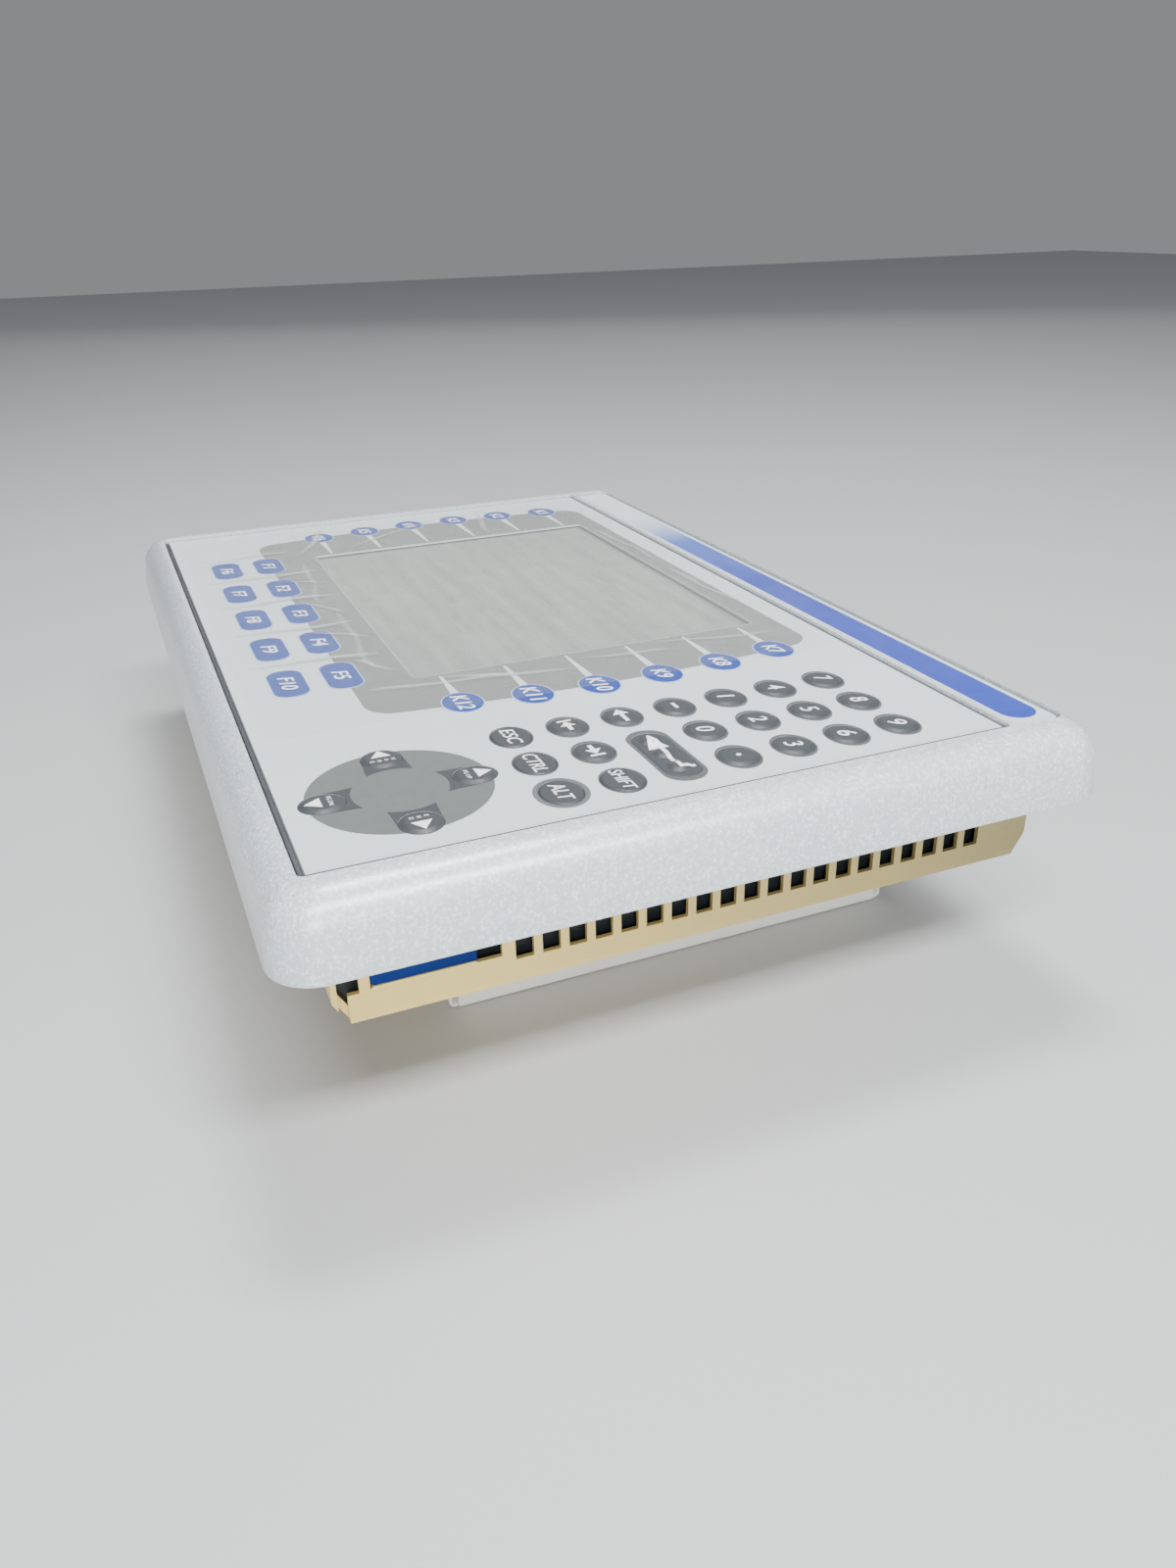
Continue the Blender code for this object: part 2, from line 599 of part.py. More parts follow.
def socket(name, depth, material, cavity=None, out=0.0):
    """A connector whose face is just outside the module's wall, with the hollow that its plug enters."""
    middle, width, height = PORTS[name]
    face = base_limits()[1][0] - out
    clear = 2 * GAP
    bm = bmesh.new()
    block(bm, centred(middle, width - clear), (face, face + depth), centred(PORT_LEVEL, height - clear))
    made = part(name, bm, material)
    if cavity:
        hollow = bmesh.new()
        block(hollow, centred(middle, cavity[0]), (face - 2 * MM, face + cavity[2]),
              centred(PORT_LEVEL, cavity[1]))
        cut(made, hollow)
    return made


def make_ports():
    socket("power_header", 12 * MM, "black_plastic", (14.4 * MM, 8.4 * MM, 8 * MM), 0.4 * MM)
    socket("serial_port", 11 * MM, "connector_shell", (17.0 * MM, 8.4 * MM, 6 * MM), 5.6 * MM)
    socket("usb_port_1", 15 * MM, "connector_shell", (12.5 * MM, 5.1 * MM, 9 * MM), 0.4 * MM)
    socket("usb_port_2", 15 * MM, "connector_shell", (12.5 * MM, 5.1 * MM, 9 * MM), 0.4 * MM)
    socket("ethernet_port", 19 * MM, "connector_shell", (11.8 * MM, 8.4 * MM, 12 * MM), 0.4 * MM)
    socket("card_slot", 42 * MM, "black_plastic", (43.0 * MM, 4.0 * MM, 38 * MM), 0.0)

    face = base_limits()[1][0]
    middle = PORTS["power_header"][0]
    bm = bmesh.new()
    block(bm, centred(middle, 13.6 * MM), (face - 13 * MM, face + 6.6 * MM), centred(PORT_LEVEL, 7.6 * MM))
    plug = part("power_plug", bm, "green_plastic", (middle, face, PORT_LEVEL))
    grip = bmesh.new()
    grip_y = (face - 13.4 * MM, face - 1.4 * MM)
    block(grip, centred(middle, 16.0 * MM), grip_y, centred(PORT_LEVEL, 10.0 * MM))
    weld(plug, grip)

    middle = PORTS["card_slot"][0]
    bm = bmesh.new()
    block(bm, centred(middle, 42.4 * MM), (face - 1.6 * MM, face + 35 * MM), centred(PORT_LEVEL, 3.3 * MM))
    part("memory_card", bm, "black_plastic", (middle, face, PORT_LEVEL))

    middle = PORTS["reset_button"][0]
    button = turned("reset_button", [(0.0, 3.0 * MM), (1.8 * MM, 3.0 * MM), (1.8 * MM, -5.0 * MM),
                                     (0.0, -5.0 * MM)], "black_plastic", (middle, face, PORT_LEVEL), sides=12)
    button.rotation_euler = (math.radians(90), 0.0, 0.0)
    button.location.y = face + 2.0 * MM


def make_module_internals():
    level = MAIN_BOARD_LEVEL - GAP
    bm = bmesh.new()
    x = (-6.0 * MM, 28.0 * MM)
    y = (18.0 * MM, 52.0 * MM)
    block(bm, x, y, (level - 3 * MM, level))
    sink = part("heat_sink", bm, "aluminium")
    fins = bmesh.new()
    for number in range(6):
        fin_x = centred(x[0] + 2 * MM + number * 6 * MM, 1.6 * MM)
        block(fins, fin_x, y, (level - 14 * MM, level - 2.5 * MM))
    weld(sink, fins)

    turned("battery", [(0.0, 0.0), (10.0 * MM, 0.0), (10.0 * MM, -3.2 * MM), (0.0, -3.2 * MM)],
           "cell_steel", (66.0 * MM, 45.0 * MM, level), sides=20)


# ---------------------------------------------------------------- fasteners

def pan_screw(name, place_xyz, length):
    """A screw whose head bears on a face at the given place, with its shaft going up into the work."""
    head = SCREW_HEAD_RADIUS
    profile = [(0.0, length), (SCREW_SHAFT_RADIUS, length), (SCREW_SHAFT_RADIUS, -GAP), (head, -GAP),
               (head, -0.8 * MM), (head * 0.7, -SCREW_HEAD_HEIGHT), (0.0, -SCREW_HEAD_HEIGHT)]
    return turned(name, profile, "screw_steel", place_xyz, sides=12)


def make_screws():
    for number, (x, y) in enumerate(BOSS_PLACES, 1):
        pan_screw(f"chassis_screw_{number}", (x, y, CHASSIS_BOTTOM), 9 * MM)
    for number, (x, y) in enumerate(module_screw_places(), 1):
        pan_screw(f"module_screw_{number}", (x, y, MODULE_TOP - MODULE_SHEET), 4.4 * MM)
    for number, side in enumerate((-1, 1), 1):
        seat = (side * MODULE_X[1], COVER_SCREW_Y, COVER_SCREW_Z)
        screw = pan_screw(f"cover_screw_{number}", seat, 5.5 * MM)
        screw.rotation_euler = (0.0, math.radians(-90 * side), 0.0)


make_bezel()
make_gasket()
make_film()
make_keys()
make_keypad_board()
make_display()
make_display_board()
make_chassis()
make_blue_sheet()
make_module_cover()
make_module_base()
make_main_board()
make_ports()
make_module_internals()
make_screws()
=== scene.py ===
import functools
import math

import bmesh
import bpy
from mathutils import Matrix, Vector


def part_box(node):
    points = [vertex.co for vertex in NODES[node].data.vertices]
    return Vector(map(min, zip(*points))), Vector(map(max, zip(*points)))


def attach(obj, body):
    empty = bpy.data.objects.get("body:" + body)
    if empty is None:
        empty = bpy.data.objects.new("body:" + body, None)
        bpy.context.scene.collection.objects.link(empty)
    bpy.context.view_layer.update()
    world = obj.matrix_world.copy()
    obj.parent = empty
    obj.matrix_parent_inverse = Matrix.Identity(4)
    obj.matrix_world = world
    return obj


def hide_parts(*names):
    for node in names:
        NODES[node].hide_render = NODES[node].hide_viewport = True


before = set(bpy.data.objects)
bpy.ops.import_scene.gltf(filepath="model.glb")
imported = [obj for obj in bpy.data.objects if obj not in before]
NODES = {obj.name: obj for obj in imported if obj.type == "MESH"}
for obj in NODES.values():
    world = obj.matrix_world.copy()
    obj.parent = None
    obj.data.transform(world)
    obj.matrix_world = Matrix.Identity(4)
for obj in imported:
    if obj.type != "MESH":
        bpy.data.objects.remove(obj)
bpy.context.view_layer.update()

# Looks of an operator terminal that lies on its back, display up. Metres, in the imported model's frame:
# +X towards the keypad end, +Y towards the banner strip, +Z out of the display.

MM = 0.001
INK = 0.04 * MM
FIT_GAP = 0.3 * MM


@functools.cache
def node_box(name):
    low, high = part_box(name)
    return low.freeze(), high.freeze()


@functools.cache
def middle(name):
    low, high = node_box(name)
    return ((low + high) / 2).freeze()


FILM_LOW, FILM_HIGH = node_box("keypad_film")
FILM_TOP = FILM_HIGH.z
BEZEL_HIGH = node_box("bezel")[1]
BEZEL_BACK = node_box("rear_chassis")[1].z + FIT_GAP
DISPLAY = middle("lcd_panel")
KEY_NAMES = sorted(name for name in NODES if name.startswith("key_"))


# ---------------------------------------------------------------- camera, floor and lights

CAMERA_PLACE = Vector((0.3260, -0.1087, 0.1787))
CAMERA_AIM = Vector((-0.0067, 0.0269, 0.0028))
CAMERA_ROLL = math.radians(-1.32)
CAMERA_LENS = 27.35

FLOOR_HALF = 3.0
FLOOR_DROP = 0.2 * MM
FLOOR_COLOUR = (0.46, 0.47, 0.48)
SKY_COLOUR = (0.93, 0.96, 1.0, 1.0)
SKY_STRENGTH = 0.27
WHITE = (1.0, 1.0, 1.0)

# Each light: name, place, point it faces, width and depth, watts, colour.
LIGHTS = (
    ("overhead", (-0.16, 0.12, 1.10), (0.0, 0.0, 0.05), (0.34, 0.20), 11.0, WHITE),
    ("near_strip", (0.72, -0.04, 0.98), (0.13, 0.0, 0.06), (0.9, 0.18), 25.0, WHITE),
    ("far_panel", (-1.55, 0.66, 0.60), (0.0, 0.0, 0.07), (2.0, 0.26), 3.0, (1.0, 0.99, 0.96)),
    ("near_fill", (1.05, -0.30, 0.42), (0.1, 0.0, 0.04), (0.45, 0.3), 9.5, WHITE),
)


def make_camera():
    data = bpy.data.cameras.new("camera")
    data.sensor_fit = "AUTO"
    data.sensor_width = 36.0
    data.lens = CAMERA_LENS
    data.clip_start = 0.01
    camera = bpy.data.objects.new("camera", data)
    bpy.context.scene.collection.objects.link(camera)
    aim = (CAMERA_AIM - CAMERA_PLACE).to_track_quat("-Z", "Y").to_matrix().to_4x4()
    camera.matrix_world = Matrix.Translation(CAMERA_PLACE) @ aim @ Matrix.Rotation(CAMERA_ROLL, 4, "Z")
    bpy.context.scene.camera = camera


def area_light(name, place, aim, size, power, colour):
    data = bpy.data.lights.new(name, "AREA")
    data.shape = "RECTANGLE"
    data.size, data.size_y = size
    data.energy = power
    data.color = colour
    lamp = bpy.data.objects.new(name, data)
    lamp.location = place
    lamp.rotation_euler = (Vector(aim) - Vector(place)).to_track_quat("-Z", "Y").to_euler()
    bpy.context.scene.collection.objects.link(lamp)


def make_stage():
    bm = bmesh.new()
    bmesh.ops.create_grid(bm, x_segments=1, y_segments=1, size=FLOOR_HALF)
    floor = new_object("floor", bm)
    floor.location.z = -FLOOR_DROP
    look = Look("pale_floor", FLOOR_COLOUR, 0.6)
    floor.data.materials.append(look.material)

    world = bpy.data.worlds.new("studio")
    world.use_nodes = True
    background = world.node_tree.nodes["Background"]
    background.inputs["Color"].default_value = SKY_COLOUR
    background.inputs["Strength"].default_value = SKY_STRENGTH
    bpy.context.scene.world = world
    for light in LIGHTS:
        area_light(*light)


# ---------------------------------------------------------------- mesh helpers

def new_object(name, bm):
    mesh = bpy.data.meshes.new(name)
    bm.to_mesh(mesh)
    bm.free()
    obj = bpy.data.objects.new(name, mesh)
    bpy.context.scene.collection.objects.link(obj)
    return obj


def smooth(obj, angle=30.0):
    obj.data.shade_smooth()
    obj.data.set_sharp_from_angle(angle=math.radians(angle))


def baked(obj):
    """The object with its modifiers applied, or its curve made a mesh. It keeps its name."""
    bpy.context.view_layer.update()
    graph = bpy.context.evaluated_depsgraph_get()
    mesh = bpy.data.meshes.new_from_object(obj.evaluated_get(graph))
    mesh.transform(obj.matrix_world)
    name = obj.name
    materials = [slot.material for slot in obj.material_slots]
    bpy.data.objects.remove(obj)
    mesh.materials.clear()
    for material in materials:
        mesh.materials.append(material)
    made = bpy.data.objects.new(name, mesh)
    bpy.context.scene.collection.objects.link(made)
    return made


def piece(obj, look=None, body="root", replaces=()):
    """Finishes a piece: its material, the body that it rides on, and the CAD nodes that it stands for."""
    if look:
        obj.data.materials.clear()
        obj.data.materials.append(look.material)
    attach(obj, body)
    if replaces:
        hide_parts(*replaces)


def block(bm, low, high):
    low, high = Vector(low), Vector(high)
    size = Matrix.Diagonal((*(high - low), 1.0))
    bmesh.ops.create_cube(bm, size=1.0, matrix=Matrix.Translation((low + high) / 2) @ size)


def boolean(obj, bm, operation="DIFFERENCE"):
    """Cuts a shape out of the object, or joins one to it, and applies the result at once."""
    other = new_object(f"{obj.name}_tool", bm)
    modifier = obj.modifiers.new("boolean", "BOOLEAN")
    modifier.operation = operation
    modifier.solver = "EXACT"
    modifier.object = other
    made = baked(obj)
    bpy.data.objects.remove(other)
    return made


def cut_block(obj, low, high):
    tool = bmesh.new()
    block(tool, low, high)
    return boolean(obj, tool)


def cut_prism(obj, loop, bottom, top):
    tool = bmesh.new()
    prism(tool, loop, bottom, top)
    return boolean(obj, tool)


SHARP_ANGLE = 35.0


def soften(obj, width):
    """Rounds every sharp edge, and shades the piece smooth."""
    bevel = obj.modifiers.new("edges", "BEVEL")
    bevel.width = width
    bevel.segments = 2
    bevel.limit_method = "ANGLE"
    bevel.angle_limit = math.radians(SHARP_ANGLE)
    bevel.use_clamp_overlap = True
    made = baked(obj)
    smooth(made, SHARP_ANGLE)
    return made


def soft_piece(obj, width, look):
    """A finished fixed piece with every edge rounded."""
    piece(soften(obj, width), LOOKS[look])


def rounded_loop(half_x, half_y, radius, per_corner, centre=(0.0, 0.0)):
    """Points round a rectangle with round corners, anticlockwise from the +X side."""
    points = []
    for quarter, (sx, sy) in enumerate(((1, 1), (-1, 1), (-1, -1), (1, -1))):
        for step in range(per_corner + 1):
            turn = math.radians(90) * (quarter + step / per_corner)
            x = centre[0] + sx * (half_x - radius) + radius * math.cos(turn)
            y = centre[1] + sy * (half_y - radius) + radius * math.sin(turn)
            points.append((x, y))
    return points


def loft(bm, rings):
    """A closed solid through rings of points of equal count, bottom ring first."""
    loops = [[bm.verts.new(point) for point in ring] for ring in rings]
    for lower, upper in zip(loops, loops[1:]):
        for i in range(len(lower)):
            j = (i + 1) % len(lower)
            bm.faces.new((lower[i], lower[j], upper[j], upper[i]))
    bm.faces.new(list(reversed(loops[0])))
    bm.faces.new(loops[-1])
    bmesh.ops.recalc_face_normals(bm, faces=bm.faces)


def lofted(name, rings):
    bm = bmesh.new()
    loft(bm, rings)
    return new_object(name, bm)


def blocks(name, *corners):
    """One object from several blocks, each given by its low and high corner."""
    bm = bmesh.new()
    for low, high in corners:
        block(bm, low, high)
    return new_object(name, bm)


def prism(bm, loop, bottom, top):
    """A straight solid over a plan outline."""
    loft(bm, [[(x, y, z) for x, y in loop] for z in (bottom, top)])


def plan_loop(low, high, margin, radius, per_corner):
    """The outline of a box in plan with round corners, wider on every side by the margin."""
    centre = ((low.x + high.x) / 2, (low.y + high.y) / 2)
    half_x, half_y = (high.x - low.x) / 2 + margin, (high.y - low.y) / 2 + margin
    return rounded_loop(half_x, half_y, radius, per_corner, centre)


def oval_loop(centre, radii, count=48):
    return [(centre[0] + radii[0] * math.cos(math.tau * i / count),
             centre[1] + radii[1] * math.sin(math.tau * i / count)) for i in range(count)]


def printed(name, loops, bottom, thickness=INK):
    """A thin flat shape; a loop inside another is a hole."""
    curve = bpy.data.curves.new(name, "CURVE")
    curve.dimensions = "2D"
    curve.fill_mode = "BOTH"
    curve.extrude = thickness / 2
    for loop in loops:
        spline = curve.splines.new("POLY")
        spline.points.add(len(loop) - 1)
        for point, (x, y) in zip(spline.points, loop):
            point.co = (x, y, 0.0, 1.0)
        spline.use_cyclic_u = True
    obj = bpy.data.objects.new(name, curve)
    obj.location.z = bottom + thickness / 2
    bpy.context.scene.collection.objects.link(obj)
    return baked(obj)


def lettering(name, text, centre, height, width, bottom, weight, slant=0.22):
    """A printed legend of the given height and width, as a mesh."""
    curve = bpy.data.curves.new(name, "FONT")
    curve.body = text
    curve.shear = slant
    curve.offset = weight
    curve.align_x = "LEFT"
    curve.resolution_u = 6
    curve.extrude = 0.5
    obj = bpy.data.objects.new(name, curve)
    bpy.context.scene.collection.objects.link(obj)
    made = baked(obj)
    xs = [vert.co.x for vert in made.data.vertices]
    ys = [vert.co.y for vert in made.data.vertices]
    wide, tall = max(xs) - min(xs), max(ys) - min(ys)
    scale = Matrix.Diagonal((width / wide, height / tall, INK, 1.0))
    shift = Matrix.Translation((-(max(xs) + min(xs)) / 2, -(max(ys) + min(ys)) / 2, 0.0))
    place = Matrix.Translation((centre[0], centre[1], bottom + INK / 2))
    made.data.transform(place @ scale @ shift)
    return made


def joined(name, objects):
    """One object from several, keeping their material slots."""
    bm = bmesh.new()
    materials = []
    for obj in objects:
        mesh = obj.data
        indices = []
        for material in mesh.materials:
            if material not in materials:
                materials.append(material)
            indices.append(materials.index(material))
        for polygon in mesh.polygons:
            polygon.material_index = indices[polygon.material_index] if indices else 0
        bm.from_mesh(mesh)
        bpy.data.objects.remove(obj)
    made = new_object(name, bm)
    for material in materials:
        made.data.materials.append(material)
    return made


# ---------------------------------------------------------------- materials

class Look:
    """A Principled material, with short calls for the texture nodes that give it its detail."""

    def __init__(self, name, colour, roughness, metallic=0.0, specular=0.5):
        self.material = bpy.data.materials.new(name)
        self.material.use_nodes = True
        self.tree = self.material.node_tree
        self.shader = self.tree.nodes["Principled BSDF"]
        self.colour = colour
        self.shader.inputs["Base Color"].default_value = (*colour, 1.0)
        self.shader.inputs["Roughness"].default_value = roughness
        self.shader.inputs["Metallic"].default_value = metallic
        self.shader.inputs["Specular IOR Level"].default_value = specular
        self.coordinates = self.tree.nodes.new("ShaderNodeTexCoord").outputs["Object"]

    def node(self, kind, settings=None, **inputs):
        made = self.tree.nodes.new(kind)
        for name, value in (settings or {}).items():
            setattr(made, name, value)
        for name, value in inputs.items():
            socket = made.inputs[name.replace("_", " ")]
            if isinstance(value, bpy.types.NodeSocket):
                self.tree.links.new(value, socket)
            else:
                socket.default_value = value
        return made

    def link(self, output, name):
        self.tree.links.new(output, self.shader.inputs[name])

    def noise(self, size, detail=3.0, stretch=(1.0, 1.0, 1.0), roughness=0.55):
        """Noise whose blotches are about size metres across, longer along an axis with a stretch over 1."""
        scale = self.node("ShaderNodeMapping", Vector=self.coordinates)
        scale.inputs["Scale"].default_value = [1.0 / (size * s) for s in stretch]
        made = self.node("ShaderNodeTexNoise", Vector=scale.outputs["Vector"], Scale=1.0, Detail=detail,
                         Roughness=roughness)
        return made.outputs["Fac"]

    def remap(self, value, low, high, to_low, to_high):
        made = self.node("ShaderNodeMapRange", Value=value)
        for name, number in (("From Min", low), ("From Max", high), ("To Min", to_low), ("To Max", to_high)):
            made.inputs[name].default_value = number
        return made.outputs["Result"]

    def mix(self, factor, one, other):
        made = self.node("ShaderNodeMix", {"data_type": "RGBA"})
        self.tree.links.new(factor, made.inputs["Factor"])
        for socket, colour in ((made.inputs[6], one), (made.inputs[7], other)):
            if isinstance(colour, bpy.types.NodeSocket):
                self.tree.links.new(colour, socket)
            else:
                socket.default_value = (*colour, 1.0)
        return made.outputs[2]

    def maths(self, operation, one, other):
        made = self.node("ShaderNodeMath", {"operation": operation})
        for socket, value in zip(made.inputs, (one, other)):
            if isinstance(value, bpy.types.NodeSocket):
                self.tree.links.new(value, socket)
            else:
                socket.default_value = value
        return made.outputs["Value"]

    def tint(self, factor, other, low=0.3, high=0.7):
        """Colour that runs from the base to another colour as the factor rises."""
        self.link(self.mix(self.remap(factor, low, high, 0.0, 1.0), self.colour, other), "Base Color")

    def rough(self, factor, low, high):
        self.link(self.remap(factor, 0.3, 0.7, low, high), "Roughness")

    def bump(self, height, depth, strength=1.0, under=None):
        made = self.node("ShaderNodeBump", Height=height, Distance=depth, Strength=strength)
        if under:
            self.tree.links.new(under, made.inputs["Normal"])
        self.link(made.outputs["Normal"], "Normal")
        return made.outputs["Normal"]

    def place_axis(self, axis):
        split = self.node("ShaderNodeSeparateXYZ", Vector=self.coordinates)
        return split.outputs[axis]


def scaled(colour, factor):
    return tuple(channel * factor for channel in colour)


def bezel_look():
    """Light grey-blue moulding with a pebble grain, and grime ground into the rim by the function keys."""
    look = Look("bezel_moulding", (0.53, 0.585, 0.61), 0.34)
    pebble = look.noise(1.5 * MM, 3.0)
    fine = look.noise(0.80 * MM, 2.0)
    cloud = look.noise(60 * MM, 3.0)
    base = look.mix(look.remap(cloud, 0.3, 0.7, 0.0, 1.0), look.colour, (0.50, 0.555, 0.585))
    base = look.mix(look.remap(fine, 0.50, 0.66, 0.0, 0.65), base, (0.84, 0.89, 0.91))
    base = look.mix(look.remap(pebble, 0.5, 0.7, 0.0, 0.42), base, (0.38, 0.43, 0.46))
    specks = look.noise(0.55 * MM, 5.0, roughness=0.75)
    level = look.remap(look.place_axis("Z"), 0.0600, 0.0680, 0.0, 1.0)
    blotch = look.remap(look.noise(26 * MM, 3.0), 0.30, 0.60, 0.25, 1.0)
    near_side = look.remap(look.place_axis("Y"), -0.078, -0.090, 0.0, 1.0)
    where = look.maths("MULTIPLY", look.maths("MULTIPLY", near_side, blotch), level)
    dirt = look.maths("MULTIPLY", look.remap(specks, 0.50, 0.60, 0.0, 0.7), where)
    look.link(look.mix(dirt, base, (0.20, 0.21, 0.22)), "Base Color")
    look.rough(cloud, 0.24, 0.34)
    under = look.bump(pebble, 0.14 * MM, 1.0)
    look.bump(fine, 0.10 * MM, 1.0, under)
    sparkle = look.node("ShaderNodeBump", Height=look.noise(0.9 * MM, 2.0), Distance=0.018 * MM)
    look.link(sparkle.outputs["Normal"], "Coat Normal")
    look.shader.inputs["Coat Weight"].default_value = 1.0
    look.shader.inputs["Coat Roughness"].default_value = 0.27
    return look


def film_look():
    """Smooth satin polyester film."""
    look = Look("polyester_film", (0.580, 0.640, 0.660), 0.30)
    cloud = look.noise(45 * MM, 3.0)
    look.tint(cloud, (0.552, 0.612, 0.640))
    look.rough(look.noise(12 * MM, 3.0), 0.26, 0.34)
    look.bump(look.noise(0.25 * MM, 2.0), 0.006 * MM, 0.5)
    return look


def ink_look(name, colour, roughness=0.34):
    """Screen-printed ink under the film's satin surface."""
    look = Look(name, colour, roughness, specular=0.38)
    look.tint(look.noise(3.0 * MM, 4.0), scaled(colour, 0.9), 0.35, 0.75)
    look.rough(look.noise(8 * MM, 3.0), roughness - 0.03, roughness + 0.05)
    look.bump(look.noise(0.25 * MM, 2.0), 0.006 * MM, 0.5)
    return look


def banner_look(low, high):
    """Blue ink that fades to pale grey towards the far end of the strip."""
    look = Look("banner_ink", (0.03, 0.10, 0.46), 0.32, specular=0.38)
    along = look.remap(look.place_axis("X"), low, high, 0.0, 1.0)
    ramp = look.node("ShaderNodeValToRGB", Fac=along)
    stops = ramp.color_ramp.elements
    stops[0].position, stops[0].color = 0.0, (0.60, 0.655, 0.675, 1.0)
    stops[1].position, stops[1].color = 1.0, (0.006, 0.034, 0.340, 1.0)
    pale = stops.new(0.12)
    pale.color = (0.48, 0.56, 0.68, 1.0)
    half = stops.new(0.42)
    half.color = (0.034, 0.100, 0.440, 1.0)
    mottled = look.mix(look.remap(look.noise(2.0 * MM, 4.0), 0.35, 0.8, 0.0, 0.06), ramp.outputs["Color"],
                       (0.22, 0.30, 0.64))
    look.link(mottled, "Base Color")
    look.rough(look.noise(8 * MM), 0.28, 0.36)
    look.bump(look.noise(0.25 * MM, 2.0), 0.006 * MM, 0.5)
    return look


def key_look():
    """Dark grey embossed film with a fine speckle."""
    look = Look("key_cap_grey", (0.043, 0.050, 0.054), 0.42)
    look.tint(look.noise(0.5 * MM, 3.0), (0.032, 0.038, 0.042))
    look.rough(look.noise(2.5 * MM, 3.0), 0.40, 0.52)
    look.bump(look.noise(0.22 * MM, 3.0), 0.02 * MM, 0.6)
    return look


def chromate_look():
    """Yellow chromate on folded steel: a fine rolled grain and stray bright scratches, with painted shade that
    darkens it towards +Y for the dimmer reflection on that side.
    """
    look = Look("gold_chromate", (0.90, 0.69, 0.30), 0.34, 0.45)
    grain = look.noise(0.22 * MM, 2.0, (26.0, 26.0, 1.0))
    scratch = look.noise(0.30 * MM, 4.0, (60.0, 60.0, 0.8), 0.75)
    drift = look.noise(30 * MM, 4.0)
    base = look.mix(look.remap(drift, 0.35, 0.7, 0.0, 1.0), (0.95, 0.71, 0.23), (0.88, 0.68, 0.27))
    # Painted shade: the colour darkens towards +Y to stand in for the dimmer reflection on that side of the
    # sheet.
    base = look.mix(look.remap(look.place_axis("Y"), -0.060, 0.084, 0.0, 0.90), base, (0.22, 0.20, 0.10))
    base = look.mix(look.remap(grain, 0.35, 0.65, 0.0, 0.16), base, (0.48, 0.36, 0.17))
    look.link(look.mix(look.remap(scratch, 0.62, 0.74, 0.0, 0.35), base, (0.95, 0.86, 0.64)), "Base Color")
    look.rough(drift, 0.28, 0.42)
    look.bump(grain, 0.012 * MM, 0.6)
    return look


def sheet_metal_look(name, colour, roughness, metallic):
    look = Look(name, colour, roughness, metallic)
    grain = look.noise(0.4 * MM, 4.0, (25.0, 25.0, 1.0))
    cloud = look.noise(30 * MM)
    base = look.mix(look.remap(cloud, 0.35, 0.7, 0.0, 1.0), colour, scaled(colour, 0.92))
    look.link(look.mix(look.remap(grain, 0.3, 0.7, 0.0, 0.25), base, scaled(colour, 0.8)), "Base Color")
    look.rough(grain, roughness - 0.06, roughness + 0.08)
    look.bump(grain, 0.015 * MM, 0.5)
    return look


def moulded_look(name, colour, roughness=0.5, specular=0.5):
    """Moulded plastic with a fine spark-eroded texture."""
    look = Look(name, colour, roughness, specular=specular)
    look.tint(look.noise(10 * MM), scaled(colour, 0.8))
    look.rough(look.noise(1.0 * MM, 3.0), roughness - 0.06, roughness + 0.1)
    look.bump(look.noise(0.3 * MM, 3.0), 0.02 * MM, 0.7)
    return look


def foam_look():
    look = Look("cell_foam", (0.028, 0.028, 0.030), 0.92, specular=0.2)
    look.tint(look.noise(1.2 * MM, 4.0), (0.05, 0.05, 0.052))
    look.bump(look.noise(0.5 * MM, 4.0), 0.15 * MM, 1.0)
    return look


def board_look():
    """Green solder mask with lighter copper tracks under it and pale holes."""
    look = Look("solder_mask", (0.020, 0.145, 0.055), 0.32)
    cells = look.node("ShaderNodeTexBrick", Vector=look.coordinates, Scale=260.0)
    cells.inputs["Mortar Size"].default_value = 0.018
    cells.inputs["Color1"].default_value = (0.0, 0.0, 0.0, 1.0)
    cells.inputs["Color2"].default_value = (0.35, 0.35, 0.35, 1.0)
    cells.inputs["Mortar"].default_value = (1.0, 1.0, 1.0, 1.0)
    look.link(look.mix(cells.outputs["Fac"], look.colour, (0.045, 0.24, 0.10)), "Base Color")
    look.rough(look.noise(2.0 * MM), 0.25, 0.40)
    look.bump(cells.outputs["Fac"], 0.03 * MM, 0.6)
    return look


def display_look():
    """Unlit display: grey-green, with faint lighter streaks that are painted reflections."""
    look = Look("unlit_display", (0.235, 0.262, 0.238), 0.30)
    # Painted reflection: lighter streaks along X stand in for soft reflections on the screen.
    reflection_streak = look.noise(5 * MM, 3.0, (14.0, 1.0, 1.0))
    look.tint(reflection_streak, (0.285, 0.315, 0.288))
    look.rough(look.noise(20 * MM), 0.26, 0.36)
    look.bump(look.noise(0.3 * MM, 2.0), 0.004 * MM, 0.4)
    return look


def glass_look():
    """Touch screen over an unlit display: grey-green, with soft lighter streaks that are painted reflections,
    and an etched anti-glare surface.
    """
    look = Look("etched_glass", (0.178, 0.200, 0.182), 0.22)
    # Painted reflection: lighter streaks along X stand in for soft reflections on the glass.
    reflection_streak = look.noise(4 * MM, 3.0, (16.0, 1.0, 1.0))
    look.tint(reflection_streak, (0.245, 0.272, 0.250))
    look.rough(look.noise(6 * MM, 4.0), 0.18, 0.28)
    look.bump(look.noise(0.25 * MM, 2.0), 0.004 * MM, 0.4)
    return look


